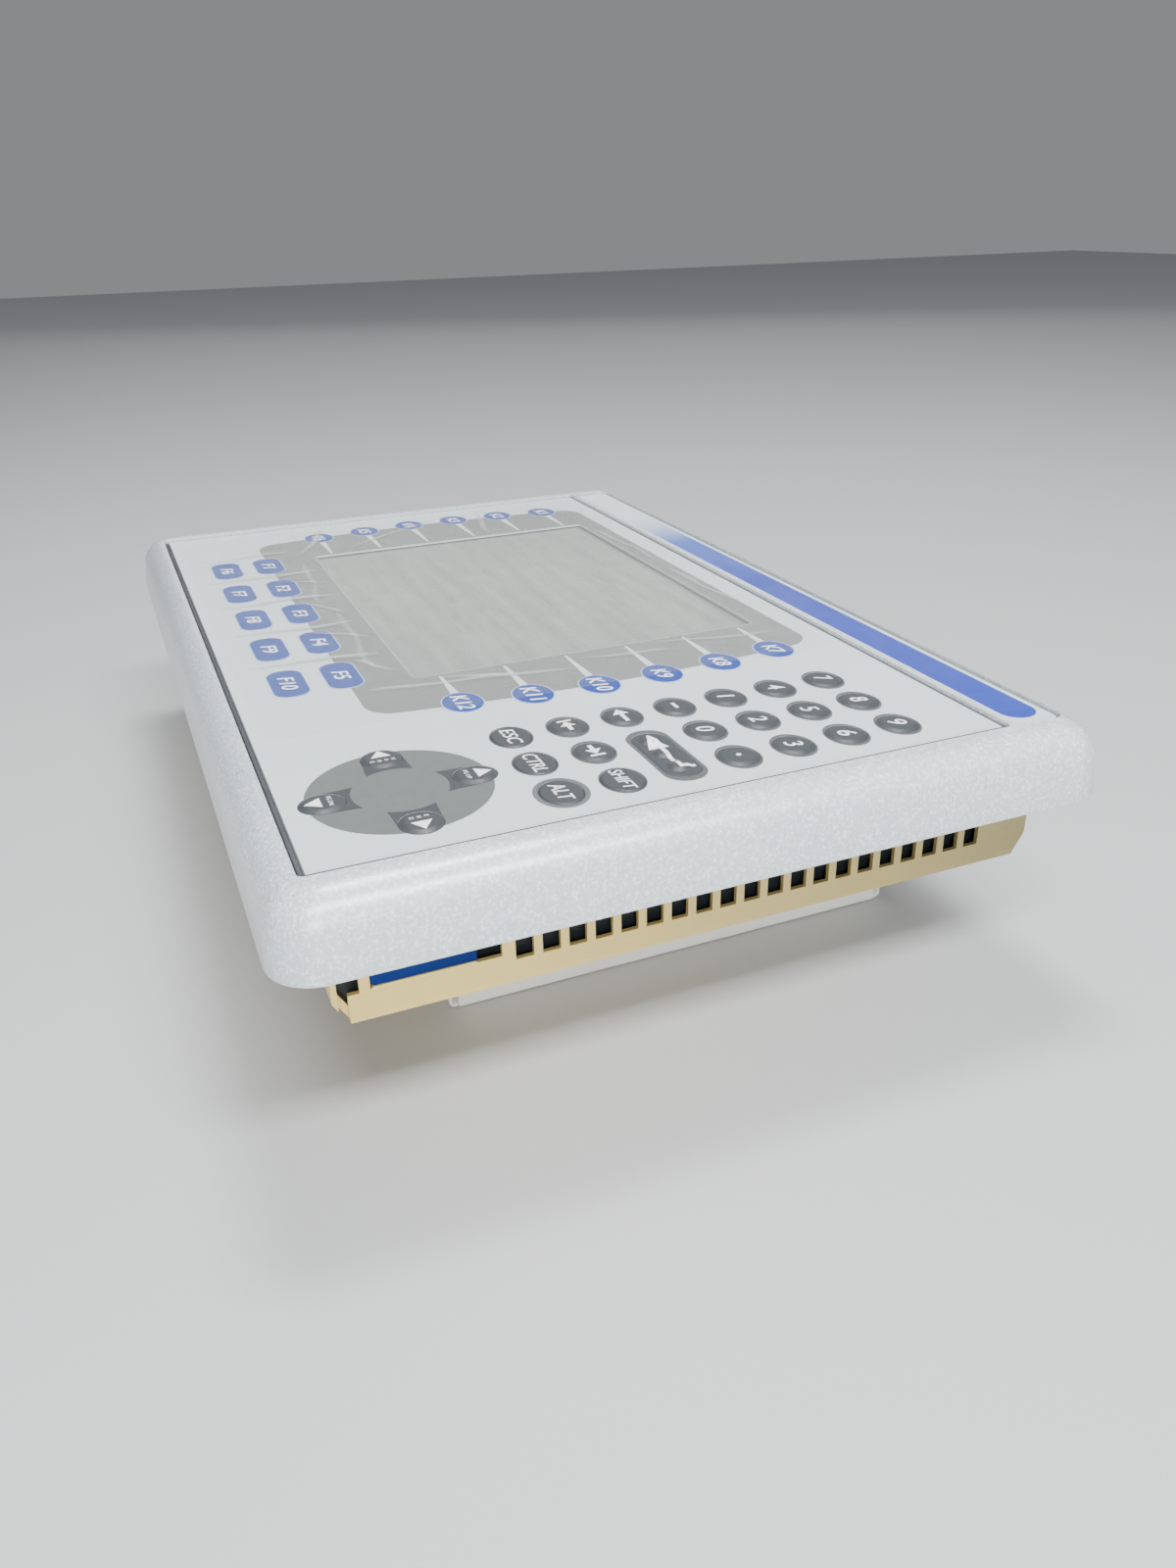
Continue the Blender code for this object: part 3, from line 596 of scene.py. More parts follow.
def peel_look():
    """Clear protective film: nearly invisible, but turning opaque and pale towards the crests of its creases as
    a painted highlight of the light they catch.
    """
    look = Look("clear_peel_film", (0.62, 0.65, 0.65), 0.14)
    # Painted highlight: the film's opacity, and with it its pale colour, rises towards the crests of the
    # creases.
    crease_highlight_alpha = look.remap(look.place_axis("Z"), FILM_TOP + 0.30 * MM, FILM_TOP + 0.62 * MM, 0.04, 0.58)
    look.link(crease_highlight_alpha, "Alpha")
    look.tint(look.noise(18 * MM, 4.0), (0.54, 0.57, 0.57))
    look.rough(look.noise(5 * MM, 4.0), 0.10, 0.22)
    look.bump(look.noise(0.6 * MM, 3.0), 0.01 * MM, 0.5)
    return look


LOOKS = {}


def make_looks():
    LOOKS.update(
        bezel=bezel_look(),
        film=film_look(),
        key=key_look(),
        ring=ink_look("ring_ink", (0.085, 0.095, 0.098)),
        disc=ink_look("disc_ink", (0.118, 0.132, 0.130)),
        border=ink_look("border_ink", (0.160, 0.176, 0.169), 0.24),
        blue=ink_look("blue_ink", (0.009, 0.045, 0.275)),
        pale=ink_look("pale_blue_ink", (0.38, 0.48, 0.74)),
        white=ink_look("white_ink", (0.90, 0.92, 0.92)),
        pointer=ink_look("pointer_ink", (0.64, 0.68, 0.68)),
        # Painted highlight: the pale colour of the line round the display window.
        edge=ink_look("window_edge_highlight_paint", (0.30, 0.33, 0.32), 0.24),
        gold=chromate_look(),
        white_sheet=sheet_metal_look("white_zinc_sheet", (0.90, 0.90, 0.87), 0.36, 0.10),
        foam=foam_look(),
        board=board_look(),
        # Painted shade: the dark colour of the strips that fill the gaps round the film.
        bead=moulded_look("adhesive_bead", (0.060, 0.064, 0.070), 0.6, 0.2),
        # Painted shade: near-black sheets stand in for the shade inside the chassis behind the vents.
        liner=moulded_look("inner_sheet", (0.012, 0.016, 0.019), 0.45),
        black=moulded_look("black_moulding", (0.025, 0.025, 0.027)),
        green=moulded_look("green_moulding", (0.035, 0.24, 0.085)),
        blue_sheet=moulded_look("blue_insulation", (0.0010, 0.022, 0.160), 0.38, 0.15),
        tray=sheet_metal_look("display_tray_metal", (0.55, 0.56, 0.56), 0.4, 0.9),
        shell=sheet_metal_look("plated_shell", (0.62, 0.62, 0.60), 0.28, 1.0),
        zinc=sheet_metal_look("zinc_screw", (0.60, 0.60, 0.56), 0.34, 1.0),
        sink=sheet_metal_look("sink_aluminium", (0.62, 0.63, 0.64), 0.38, 1.0),
        display=display_look(),
        glass=glass_look(),
        peel=peel_look(),
        gilt=sheet_metal_look("contact_gold", (0.80, 0.60, 0.25), 0.25, 1.0),
    )


# ---------------------------------------------------------------- front frame

RIM_ACROSS = 8.3 * MM
RIM_DOWN = 8.7 * MM
DRAFT = 0.9 * MM
CORNER = 10.5 * MM
RIM_STEPS = 14
LIP = 0.55 * MM
SIDE_GAP = 1.0 * MM


def bezel_rings():
    """Plan outlines of the frame from its back edge, up the drafted side and round the rim to the top."""
    half_x, half_y, top = BEZEL_HIGH.x, BEZEL_HIGH.y, BEZEL_HIGH.z
    levels = [(0.5 * MM, BEZEL_BACK), (0.12 * MM, BEZEL_BACK + 0.15 * MM), (0.0, BEZEL_BACK + 0.5 * MM)]
    levels.append((DRAFT, top - RIM_DOWN))
    for step in range(1, RIM_STEPS + 1):
        turn = math.radians(90) * step / RIM_STEPS
        levels.append((DRAFT + RIM_ACROSS * (1 - math.cos(turn)), top - RIM_DOWN * (1 - math.sin(turn))))
    for inset, z in levels:
        radius = max(CORNER - 0.72 * inset, 2.0 * MM)
        yield [(x, y, z) for x, y in rounded_loop(half_x - inset, half_y - inset, radius, 14)]


# The frame's inside, in plan from the chassis' walls inwards and in height up to the plate under the films.
CAVITY_BOTTOM, CAVITY_TOP = 40 * MM, 65.4 * MM
CAVITY_WALL = 1.2 * MM
OPENING_BOTTOM, OPENING_TOP = 60 * MM, 69.5 * MM
KEYPAD_OPENING = ((80.5 * MM, -83.0 * MM), (128.0 * MM, 61.0 * MM))
POCKET_GAP = 0.35 * MM
GASKET_WIDTHS = (5.1 * MM, 4.1 * MM)


def pocket_box(node):
    """The plan box of a film's recess. The keypad film sits clear of the frame along its -Y edge."""
    low, high = node_box(node)
    if node == "keypad_film":
        low = low - Vector((0.0, SIDE_GAP, 0.0))
    return low, high


def pocket(bm, node, gap, radius):
    """A recess with a lip that slopes out to the frame's top."""
    low, high = pocket_box(node)
    levels = ((gap, low.z - 0.3 * MM), (gap, high.z - 0.1 * MM), (LIP, BEZEL_HIGH.z + 0.1 * MM),
              (LIP, BEZEL_HIGH.z + 5 * MM))
    loft(bm, [[(x, y, z) for x, y in plan_loop(low, high, margin, radius + margin, 8)] for margin, z in levels])


def make_bezel():
    bezel = lofted("front_bezel", list(bezel_rings()))

    low, high = node_box("rear_chassis")
    bezel = cut_block(bezel, (low.x + CAVITY_WALL, low.y + CAVITY_WALL, CAVITY_BOTTOM),
                      (high.x - CAVITY_WALL, high.y - CAVITY_WALL, CAVITY_TOP))

    pockets = bmesh.new()
    pocket(pockets, "keypad_film", POCKET_GAP, 1.0 * MM)
    pocket(pockets, "banner_strip", POCKET_GAP, 3.4 * MM)
    bezel = boolean(bezel, pockets)

    gaps = bmesh.new()
    for name, radius in (("keypad_film", 1.4 * MM), ("banner_strip", 3.8 * MM)):
        low, high = pocket_box(name)
        rings = [plan_loop(low, high, margin, radius + margin, 8) for margin in (0.34 * MM, -0.90 * MM)]
        groove_ring(gaps, rings, low.z - 1.4 * MM, high.z + 3 * MM)
    bezel = boolean(bezel, gaps)

    through = bmesh.new()
    low, high = node_box("touch_screen")
    block(through, (low.x - FIT_GAP, low.y - FIT_GAP, OPENING_BOTTOM),
          (high.x + FIT_GAP, high.y + FIT_GAP, OPENING_TOP))
    block(through, (*KEYPAD_OPENING[0], OPENING_BOTTOM), (*KEYPAD_OPENING[1], OPENING_TOP))
    bezel = boolean(bezel, through)

    groove = bmesh.new()
    low, high = node_box("panel_gasket")
    loops = ((high.x + FIT_GAP, high.y + FIT_GAP), (high.x - GASKET_WIDTHS[0], high.y - GASKET_WIDTHS[1]))
    rings = [rounded_loop(half_x, half_y, 0.4 * MM, 2) for half_x, half_y in loops]
    groove_ring(groove, rings, BEZEL_BACK - 1 * MM, high.z + FIT_GAP)
    bezel = boolean(bezel, groove)
    bezel = soften(bezel, 0.22 * MM)
    piece(bezel, LOOKS["bezel"], replaces=["bezel"])


def groove_ring(bm, rings, bottom, top):
    """A closed ring between an outer and an inner plan outline."""
    outer, inner = rings
    count = len(outer)
    loops = []
    for outline, z in ((outer, bottom), (outer, top), (inner, top), (inner, bottom)):
        loops.append([bm.verts.new((x, y, z)) for x, y in outline])
    for one, other in zip(loops, loops[1:] + loops[:1]):
        for i in range(count):
            j = (i + 1) % count
            bm.faces.new((one[i], one[j], other[j], other[i]))
    bmesh.ops.recalc_face_normals(bm, faces=bm.faces)


# ---------------------------------------------------------------- keypad film and its print

def key_radii(name):
    low, high = node_box(name)
    return (high.x - low.x) / 2, (high.y - low.y) / 2


def pill_loop(centre, half_x, half_y):
    return rounded_loop(half_x, half_y, min(half_x, half_y) * 0.999, 12, centre)


def key_loop(name, margin):
    centre = middle(name)
    half_x, half_y = key_radii(name)
    if name == "key_enter":
        return pill_loop(centre, half_x + margin, half_y + margin)
    return oval_loop(centre, (half_x + margin, half_y + margin))


WINDOW_HALF = (65.3 * MM, 49.8 * MM)
WINDOW_CORNER = 1.5 * MM
# Width of the painted highlight round the display window's edge.
WINDOW_HIGHLIGHT_WIDTH = 0.55 * MM
# Width and thickness of the painted shade lines round the film's and the label strip's edges.
EDGE_SHADE_WIDTH = 0.30 * MM
EDGE_SHADE_THICKNESS = 0.02 * MM
KEY_PLAY = 0.12 * MM
STRIP_CORNER = 3.4 * MM
STRIPE_END_GAPS = (3 * MM, 4.3 * MM)
STRIPE_HALF_WIDTH = 4.7 * MM
STRIPE_FADE = (45 * MM, 140 * MM)


def window_loop():
    return rounded_loop(*WINDOW_HALF, WINDOW_CORNER, 6, DISPLAY)


def gap_shade_fill(low, high):
    """Painted shade: a dark fill in the gap round the film's +X and +Y edges, for the shadow there. On +X it
    flares up to the frame's top.
    """
    clear, wide, flare = 0.05 * MM, 0.30 * MM, LIP - 0.03 * MM
    bottom, mouth = low.z, high.z - 0.1 * MM
    shade_mesh = bmesh.new()
    loft(shade_mesh, [[(high.x + clear, low.y, z), (high.x + reach, low.y, z),
                 (high.x + reach, high.y - clear, z), (high.x + clear, high.y - clear, z)]
                for z, reach in ((bottom, wide), (mouth, wide), (BEZEL_HIGH.z - 0.02 * MM, flare))])
    loft(shade_mesh, [[(low.x, high.y + clear, z), (high.x - clear, high.y + clear, z),
                 (high.x - clear, high.y + wide, z), (low.x, high.y + wide, z)]
                for z in (bottom, mouth, high.z + 0.02 * MM)])
    return new_object("film_gap_shade_fill", shade_mesh)


def make_film():
    low, high = FILM_LOW, FILM_HIGH
    outline = plan_loop(low, high, 0.0, 1.0 * MM, 6)
    holes = [key_loop(name, KEY_PLAY) for name in KEY_NAMES]
    film = printed("overlay_film", [outline, window_loop(), *holes], low.z, high.z - low.z)
    smooth(film)
    piece(film, LOOKS["film"], replaces=["keypad_film"])
    # Painted shade: a thin dark line round the film's top edge stands in for the shadow in the gap at the
    # frame.
    inner = plan_loop(low, high, -EDGE_SHADE_WIDTH, 0.8 * MM, 6)
    piece(printed("film_edge_shade_line", [outline, inner], high.z, EDGE_SHADE_THICKNESS), LOOKS["ring"])

    # Painted shade: a dark strip in the gap along the film's -Y edge stands in for the shadow between film and
    # frame.
    half = SIDE_GAP / 2 - 0.05 * MM
    centre = ((low.x + high.x) / 2, low.y - SIDE_GAP / 2 - 0.05 * MM)
    loop = rounded_loop((high.x - low.x) / 2 - 0.6 * MM, half, half * 0.9, 5, centre)
    levels = (low.z - 0.25 * MM, high.z - 0.12 * MM)
    bead = lofted("film_edge_bead", [[(x, y, z) for x, y in loop] for z in levels])
    soft_piece(bead, 0.1 * MM, "bead")
    piece(gap_shade_fill(low, high), LOOKS["bead"])


def make_label_strip():
    low, high = node_box("banner_strip")
    outline = plan_loop(low, high, 0.0, STRIP_CORNER, 10)
    strip = printed("label_strip", [outline], low.z, high.z - low.z)
    smooth(strip)
    piece(strip, LOOKS["film"], replaces=["banner_strip"])
    # Painted shade: a thin grey line round the strip's top edge stands in for the shadow in the gap at the
    # frame.
    inner = plan_loop(low, high, -EDGE_SHADE_WIDTH, STRIP_CORNER - EDGE_SHADE_WIDTH, 10)
    piece(printed("strip_edge_shade_line", [outline, inner], high.z, EDGE_SHADE_THICKNESS), LOOKS["disc"])
    start, end = low.x + STRIPE_END_GAPS[0], high.x - STRIPE_END_GAPS[1]
    centre = ((start + end) / 2, (low.y + high.y) / 2)
    stripe = printed("label_stripe", [pill_loop(centre, (end - start) / 2, STRIPE_HALF_WIDTH)], high.z)
    look = banner_look(low.x + STRIPE_FADE[0], low.x + STRIPE_FADE[1])
    piece(stripe, look)


# Printed function keys: F keys in two rows under the display, K keys in an arc on each side of it.
F_FIRST_X = -83.2 * MM
F_PITCH = 28.77 * MM
F_ROWS = (-57.5 * MM, -71.3 * MM)
F_HALF = (9.7 * MM, 4.45 * MM)
K_HALF = (6.3 * MM, 5.0 * MM)
K_PITCH = 17.5 * MM
K_MIDDLE_Y = 9.4 * MM
K_BULGE = 265 * MM
K_SIDES = (-117.0 * MM, 67.2 * MM)
HALO = 0.35 * MM
POINTER_GAP = 1.8 * MM
POINTER_OVERLAP = 1 * MM
LEGEND_HEIGHT = 4.1 * MM
LEGEND_WIDTHS = {2: 6.4 * MM, 3: 9.4 * MM}
LEGEND_WEIGHT = 0.008

BORDER_CENTRE = (-24.6 * MM, 4.4 * MM)
BORDER_HALF = (86.8 * MM, 61.6 * MM)
BORDER_BOW = 4.6 * MM
BORDER_CORNER = 6.5 * MM
BORDER_SIDE_STEPS = 24


def function_keys():
    """Every flat printed key: its legend, centre and half sizes."""
    for row, y in enumerate(F_ROWS):
        for column in range(5):
            yield f"F{1 + column + 5 * row}", (F_FIRST_X + column * F_PITCH, y), F_HALF
    for side, outermost in enumerate(K_SIDES):
        for number in range(6):
            offset = (2.5 - number) * K_PITCH
            inwards = offset * offset / (2 * K_BULGE)
            x = outermost + inwards if side == 0 else outermost - inwards
            yield f"K{1 + number + 6 * side}", (x, K_MIDDLE_Y + offset), K_HALF


def flat_key_loop(centre, half, margin):
    if half is F_HALF:
        return rounded_loop(half[0] + margin, half[1] + margin, half[1] * 0.86 + margin, 14, centre)
    return oval_loop(centre, (half[0] + margin, half[1] + margin), 64)


def border_loop():
    """The grey surround of the display: its left and right sides bow outwards beside the K keys."""
    (centre_x, centre_y), (half_x, half_y), corner = BORDER_CENTRE, BORDER_HALF, BORDER_CORNER
    points = []
    for quarter, (sx, sy) in enumerate(((1, 1), (-1, 1), (-1, -1), (1, -1))):
        for step in range(11):
            turn = math.radians(90) * (quarter + step / 10)
            points.append((centre_x + sx * (half_x - corner) + corner * math.cos(turn),
                           centre_y + sy * (half_y - corner) + corner * math.sin(turn)))
        if quarter in (1, 3):
            side = -1 if quarter == 1 else 1
            for step in range(1, BORDER_SIDE_STEPS):
                y = (half_y - corner) * (1 - 2 * step / BORDER_SIDE_STEPS) * -side
                points.append((centre_x + side * half_x, centre_y + y))
    shaped = []
    for x, y in points:
        reach = (y - centre_y) / half_y
        shaped.append((x + BORDER_BOW * (1 - reach * reach) * (x - centre_x) / half_x, y))
    return shaped


def pointer_loop(start, end):
    """A long thin wedge from the display's edge to a K key."""
    thin, thick = 0.32 * MM, 1.1 * MM
    return [(start[0], start[1] - thin), (end[0], end[1] - thick), (end[0], end[1] + thick),
            (start[0], start[1] + thin)]


def make_print():
    level = FILM_TOP
    keys = list(function_keys())
    border = printed("display_border", [border_loop(), window_loop()], level)
    piece(border, LOOKS["border"])

    # Painted highlight: a pale line round the display window stands in for the light caught by the film's cut
    # edge.
    outer = rounded_loop(WINDOW_HALF[0] + WINDOW_HIGHLIGHT_WIDTH, WINDOW_HALF[1] + WINDOW_HIGHLIGHT_WIDTH, 2.0 * MM, 6, DISPLAY)
    piece(printed("window_edge_highlight", [outer, window_loop()], level + INK), LOOKS["edge"])

    halos = printed("function_key_halos", [flat_key_loop(c, h, HALO) for _, c, h in keys], level + INK)
    piece(halos, LOOKS["pale"])
    caps = printed("function_key_prints", [flat_key_loop(c, h, 0.0) for _, c, h in keys], level + 2 * INK)
    piece(caps, LOOKS["blue"])

    wedges = []
    for name, centre, half in keys:
        if name.startswith("K"):
            side = math.copysign(1.0, centre[0] - DISPLAY.x)
            start = DISPLAY.x + side * (WINDOW_HALF[0] + POINTER_GAP)
            end = centre[0] - side * (half[0] - POINTER_OVERLAP)
            wedges.append(pointer_loop((start, centre[1]), (end, centre[1])))
    pointers = printed("key_pointers", wedges, level + 0.5 * INK)
    piece(pointers, LOOKS["pointer"])

    legends = []
    for name, centre, half in keys:
        legends.append(lettering(f"legend_{name}", name, centre, LEGEND_HEIGHT, LEGEND_WIDTHS[len(name)],
                                 level + 3 * INK, LEGEND_WEIGHT))
    marks = joined("function_key_legends", legends)
    piece(marks, LOOKS["white"])


# The clear film's extent in plan, and its creases: two ends, width and height. All in millimetres.
PEEL_LOW, PEEL_HIGH = (-131.0, -83.0), (67.5, 71.5)
PEEL_CELLS = (190, 156)
PEEL_THICKNESS = 0.04 * MM
CREASES = (
    ((-128, -30), (-92, -44), 1.6, 0.30), ((-118, 8), (-94, -30), 1.3, 0.22),
    ((-126, 30), (-90, 24), 1.4, 0.26), ((-97, -80), (-98, -48), 1.4, 0.30),
    ((-69, -81), (-70, -43), 1.5, 0.34), ((-64, -60), (-52, -42), 1.0, 0.20),
    ((-40, -80), (-41, -44), 1.6, 0.36), ((-36, -56), (-20, -43), 1.1, 0.22),
    ((-12, -80), (-10, -44), 1.5, 0.34), ((-7, -60), (6, -43), 1.1, 0.22),
    ((17, -80), (19, -44), 1.6, 0.36), ((22, -52), (36, -43), 1.0, 0.22),
    ((46, -54), (52, -16), 1.5, 0.28), ((44, -40), (56, 2), 1.3, 0.24),
    ((47, 0), (53, 30), 1.2, 0.22), ((45, 26), (52, 60), 1.3, 0.24),
    ((-80, 61), (-30, 64), 1.3, 0.22), ((-26, 62), (30, 65), 1.3, 0.22),
    ((-86, -46), (-30, -50), 1.2, 0.20), ((-30, -47), (40, -49), 1.2, 0.20),
)


def crease_height(x, y):
    """Height of the clear film over the overlay at a point in plan, in millimetres."""
    height = 0.10 + 0.04 * math.sin(0.21 * x + 0.6) * math.sin(0.17 * y + 1.1)
    for (x0, y0), (x1, y1), width, rise in CREASES:
        length = math.hypot(x1 - x0, y1 - y0)
        ux, uy = (x1 - x0) / length, (y1 - y0) / length
        along = (x - x0) * ux + (y - y0) * uy
        if -width < along < length + width:
            wander = 1.1 * math.sin(0.19 * along + x0) * (along / length)
            across = (y - y0) * ux - (x - x0) * uy - wander
            fade = math.sin(math.pi * min(max(along / length, 0.0), 1.0)) ** 0.5
            height += rise * fade * math.exp(-(across / width) ** 2 * 2.0)
    return height


def make_peel_film():
    """The clear film that still covers the display and the function keys."""
    bm = bmesh.new()
    rows = []
    for i in range(PEEL_CELLS[0] + 1):
        x = PEEL_LOW[0] + (PEEL_HIGH[0] - PEEL_LOW[0]) * i / PEEL_CELLS[0]
        row = []
        for j in range(PEEL_CELLS[1] + 1):
            y = PEEL_LOW[1] + (PEEL_HIGH[1] - PEEL_LOW[1]) * j / PEEL_CELLS[1]
            row.append(bm.verts.new((x * MM, y * MM, FILM_TOP + 4 * INK + crease_height(x, y) * MM)))
        rows.append(row)
    for one, other in zip(rows, rows[1:]):
        for j in range(PEEL_CELLS[1]):
            bm.faces.new((one[j], other[j], other[j + 1], one[j + 1]))
    sheet = new_object("clear_peel_film", bm)
    solid = sheet.modifiers.new("thickness", "SOLIDIFY")
    solid.thickness = PEEL_THICKNESS
    sheet = baked(sheet)
    smooth(sheet, 60.0)
    piece(sheet, LOOKS["peel"])


# ---------------------------------------------------------------- raised keys

RING_HALF = (6.3 * MM, 5.0 * MM)
NAV_DISC_RADIUS = 19.8 * MM
ENTER_RING_HALF = (14.1 * MM, 5.1 * MM)
ALT_RING_HALF = (7.1 * MM, 5.9 * MM)
FAN_INNER, FAN_OUTER, FAN_HALF = 10.4 * MM, 17.2 * MM, 5.3 * MM
WIDE_KEYS = ("key_esc", "key_ctrl", "key_alt", "key_shift")
NAV_LETTER = (0.95 * MM, 0.8 * MM)
NAV_WORDS = {"key_up": "PG UP", "key_down": "PG DN", "key_left": "HOME", "key_right": "END"}


def nav_centre():
    return Vector((middle("key_up").x, middle("key_left").y, FILM_TOP))


def nav_fan(name):
    """The printed flare behind a navigation key: a wedge that ends in a hollow arc round the disc's middle."""
    centre = nav_centre().to_2d()
    outward = (middle(name).to_2d() - centre).normalized()
    across = Vector((-outward.y, outward.x))
    spread = math.asin(FAN_HALF / FAN_INNER * 0.96)
    points = []
    for step in range(13):
        turn = spread * (2 * step / 12 - 1)
        points.append(centre + FAN_INNER * (math.cos(turn) * outward + math.sin(turn) * across))
    for side in (1, -1):
        points.append(centre + outward * FAN_OUTER + across * side * FAN_HALF * 0.86)
    return [tuple(point) for point in points]


def without_nav_holes(obj):
    """The printed shape with the navigation keys' holes cut out."""
    tools = bmesh.new()
    for name in NAV_WORDS:
        prism(tools, key_loop(name, KEY_PLAY), FILM_TOP - 1 * MM, FILM_TOP + 1 * MM)
    return boolean(obj, tools)


def make_key_rings():
    level = FILM_TOP
    disc = printed("navigation_disc", [oval_loop(nav_centre(), (NAV_DISC_RADIUS, NAV_DISC_RADIUS), 96)], level)
    piece(without_nav_holes(disc), LOOKS["disc"])
    fans = printed("navigation_fans", [nav_fan(name) for name in NAV_WORDS], level + INK)
    piece(without_nav_holes(fans), LOOKS["key"])

    ring_loops = []
    for name in KEY_NAMES:
        if name in NAV_WORDS:
            continue
        centre = middle(name)
        outer = pill_loop(centre, *ENTER_RING_HALF) if name == "key_enter" else oval_loop(centre, RING_HALF, 64)
        ring_loops += [outer, key_loop(name, KEY_PLAY)]
    piece(printed("key_rings", ring_loops, level + INK), LOOKS["ring"])
    loops = [oval_loop(middle("key_alt"), half, 64) for half in (ALT_RING_HALF, RING_HALF)]
    piece(printed("alternate_key_ring", loops, level + INK), LOOKS["disc"])


ENTER_BUMPS = (-8.0 * MM, -0.6 * MM, 6.9 * MM)
BUMP_RADIUS = 2.9 * MM
BUMP_RISE = 0.62 * MM


def pad_height(name, x, y):
    """Height above the film of a key's flat pad, whose edge slopes to the film."""
    centre = middle(name)
    rise = node_box(name)[1].z - FILM_TOP
    half_x, half_y = key_radii(name)
    if name == "key_enter":
        beyond = max(abs(x - centre.x) - (half_x - half_y), 0.0)
        return 0.5 * rise * slope_down(math.hypot(beyond, y - centre.y) / half_y, 0.86)
    reach = math.hypot((x - centre.x) / half_x, (y - centre.y) / half_y)
    return rise * slope_down(reach, 0.90 if name in WIDE_KEYS else 0.66)


def dome_height(name, x, y):
    """Height above the film of a key's surface, with ENTER's three finger bumps."""
    height = pad_height(name, x, y)
    if name == "key_enter":
        centre = middle(name)
        for shift in ENTER_BUMPS:
            reach = math.hypot(x - centre.x - shift, y - centre.y) / BUMP_RADIUS
            height += BUMP_RISE * slope_down(reach, 0.45)
    return height


def slope_down(reach, flat):
    """1 on the flat middle, with a slight crown, then an even S-curve down to 0 at the edge."""
    if reach >= 1:
        return 0.0
    if reach <= flat:
        return 1.0 - 0.06 * (reach / flat) ** 2
    share = (reach - flat) / (1 - flat)
    return 0.94 * (1 - share * share * (3 - 2 * share)) ** 0.75


def make_cap(name, shape_loop):
    """A raised key: rings shrink towards its middle and rise by its dome, over a short skirt."""
    centre = middle(name)
    foot = node_box(name)[0].z
    rings = [[(x, y, foot) for x, y in shape_loop], [(x, y, FILM_TOP - 0.12 * MM) for x, y in shape_loop]]
    shares = [1 - 0.40 * step / 14 for step in range(15)] + [0.52, 0.40, 0.26, 0.12, 0.03]
    for share in shares:
        ring = []
        for x, y in shape_loop:
            px = centre.x + (x - centre.x) * share
            py = centre.y + (y - centre.y) * share
            ring.append((px, py, FILM_TOP + pad_height(name, px, py)))
        rings.append(ring)
    bm = bmesh.new()
    loft(bm, rings)
    if name == "key_enter":
        for shift in ENTER_BUMPS:
            level = FILM_TOP + pad_height(name, centre.x + shift, centre.y)
            rings = []
            for step in range(13):
                reach = 1.0 - 0.97 * step / 12
                z = level - 0.03 * MM + (BUMP_RISE + 0.03 * MM) * slope_down(reach * 0.999, 0.45)
                loop = oval_loop((centre.x + shift, centre.y), (BUMP_RADIUS * reach, BUMP_RADIUS * reach))
                rings.append([(x, y, z) for x, y in loop])
            loft(bm, rings)
    return new_object(f"cap_{name[4:]}", bm)


def drape(obj, name, lift):
    """Lays a flat legend on a key's surface."""
    bm = bmesh.new()
    bm.from_mesh(obj.data)
    bmesh.ops.triangulate(bm, faces=bm.faces)
    for _ in range(4):
        long_edges = [edge for edge in bm.edges if edge.calc_length() > 0.45 * MM]
        bmesh.ops.subdivide_edges(bm, edges=long_edges, cuts=1, use_grid_fill=False)
        bmesh.ops.triangulate(bm, faces=bm.faces)
    for vert in bm.verts:
        vert.co.z += dome_height(name, vert.co.x, vert.co.y) + lift
    bm.to_mesh(obj.data)
    bm.free()


def arrow_loop(centre, length, head, wide, stroke, direction=1.0):
    """A plain arrow along X."""
    tip = centre[0] + direction * length / 2
    neck = tip - direction * head
    tail = centre[0] - direction * length / 2
    y = centre[1]
    return [(tip, y), (neck, y + wide / 2), (neck, y + stroke / 2), (tail, y + stroke / 2),
            (tail, y - stroke / 2), (neck, y - stroke / 2), (neck, y - wide / 2)]


def bar_loop(x, y, width, height):
    return [(x - width / 2, y - height / 2), (x + width / 2, y - height / 2), (x + width / 2, y + height / 2),
            (x - width / 2, y + height / 2)]


def legend_loops(name):
    """Outlines of the legends that are signs and not letters."""
    c = middle(name)
    if name == "key_backspace":
        return [arrow_loop(c, 7.2 * MM, 2.9 * MM, 4.0 * MM, 1.0 * MM, -1.0)]
    if name == "key_tab_left":
        return [arrow_loop((c.x + 0.5 * MM, c.y), 4.8 * MM, 2.4 * MM, 3.7 * MM, 1.0 * MM, -1.0),
                bar_loop(c.x - 2.5 * MM, c.y, 0.75 * MM, 3.5 * MM)]
    if name == "key_tab_right":
        return [arrow_loop((c.x - 0.5 * MM, c.y), 4.8 * MM, 2.4 * MM, 3.7 * MM, 1.0 * MM),
                bar_loop(c.x + 2.5 * MM, c.y, 0.75 * MM, 3.5 * MM)]
    if name == "key_minus":
        return [bar_loop(c.x, c.y, 3.2 * MM, 0.85 * MM)]
    if name == "key_point":
        return [oval_loop(c, (0.6 * MM, 0.6 * MM), 20)]
    if name == "key_enter":
        y = c.y
        tip, neck, bend = c.x - 10.2 * MM, c.x - 3.3 * MM, c.x + 8.3 * MM
        half, wing, top = 0.5 * MM, 2.45 * MM, c.y + 3.3 * MM
        return [[(tip, y), (neck, y - wing), (neck, y - half), (bend, y - half), (bend, top),
                 (bend - 2 * half, top), (bend - 2 * half, y + half), (neck, y + half), (neck, y + wing)]]
    return []


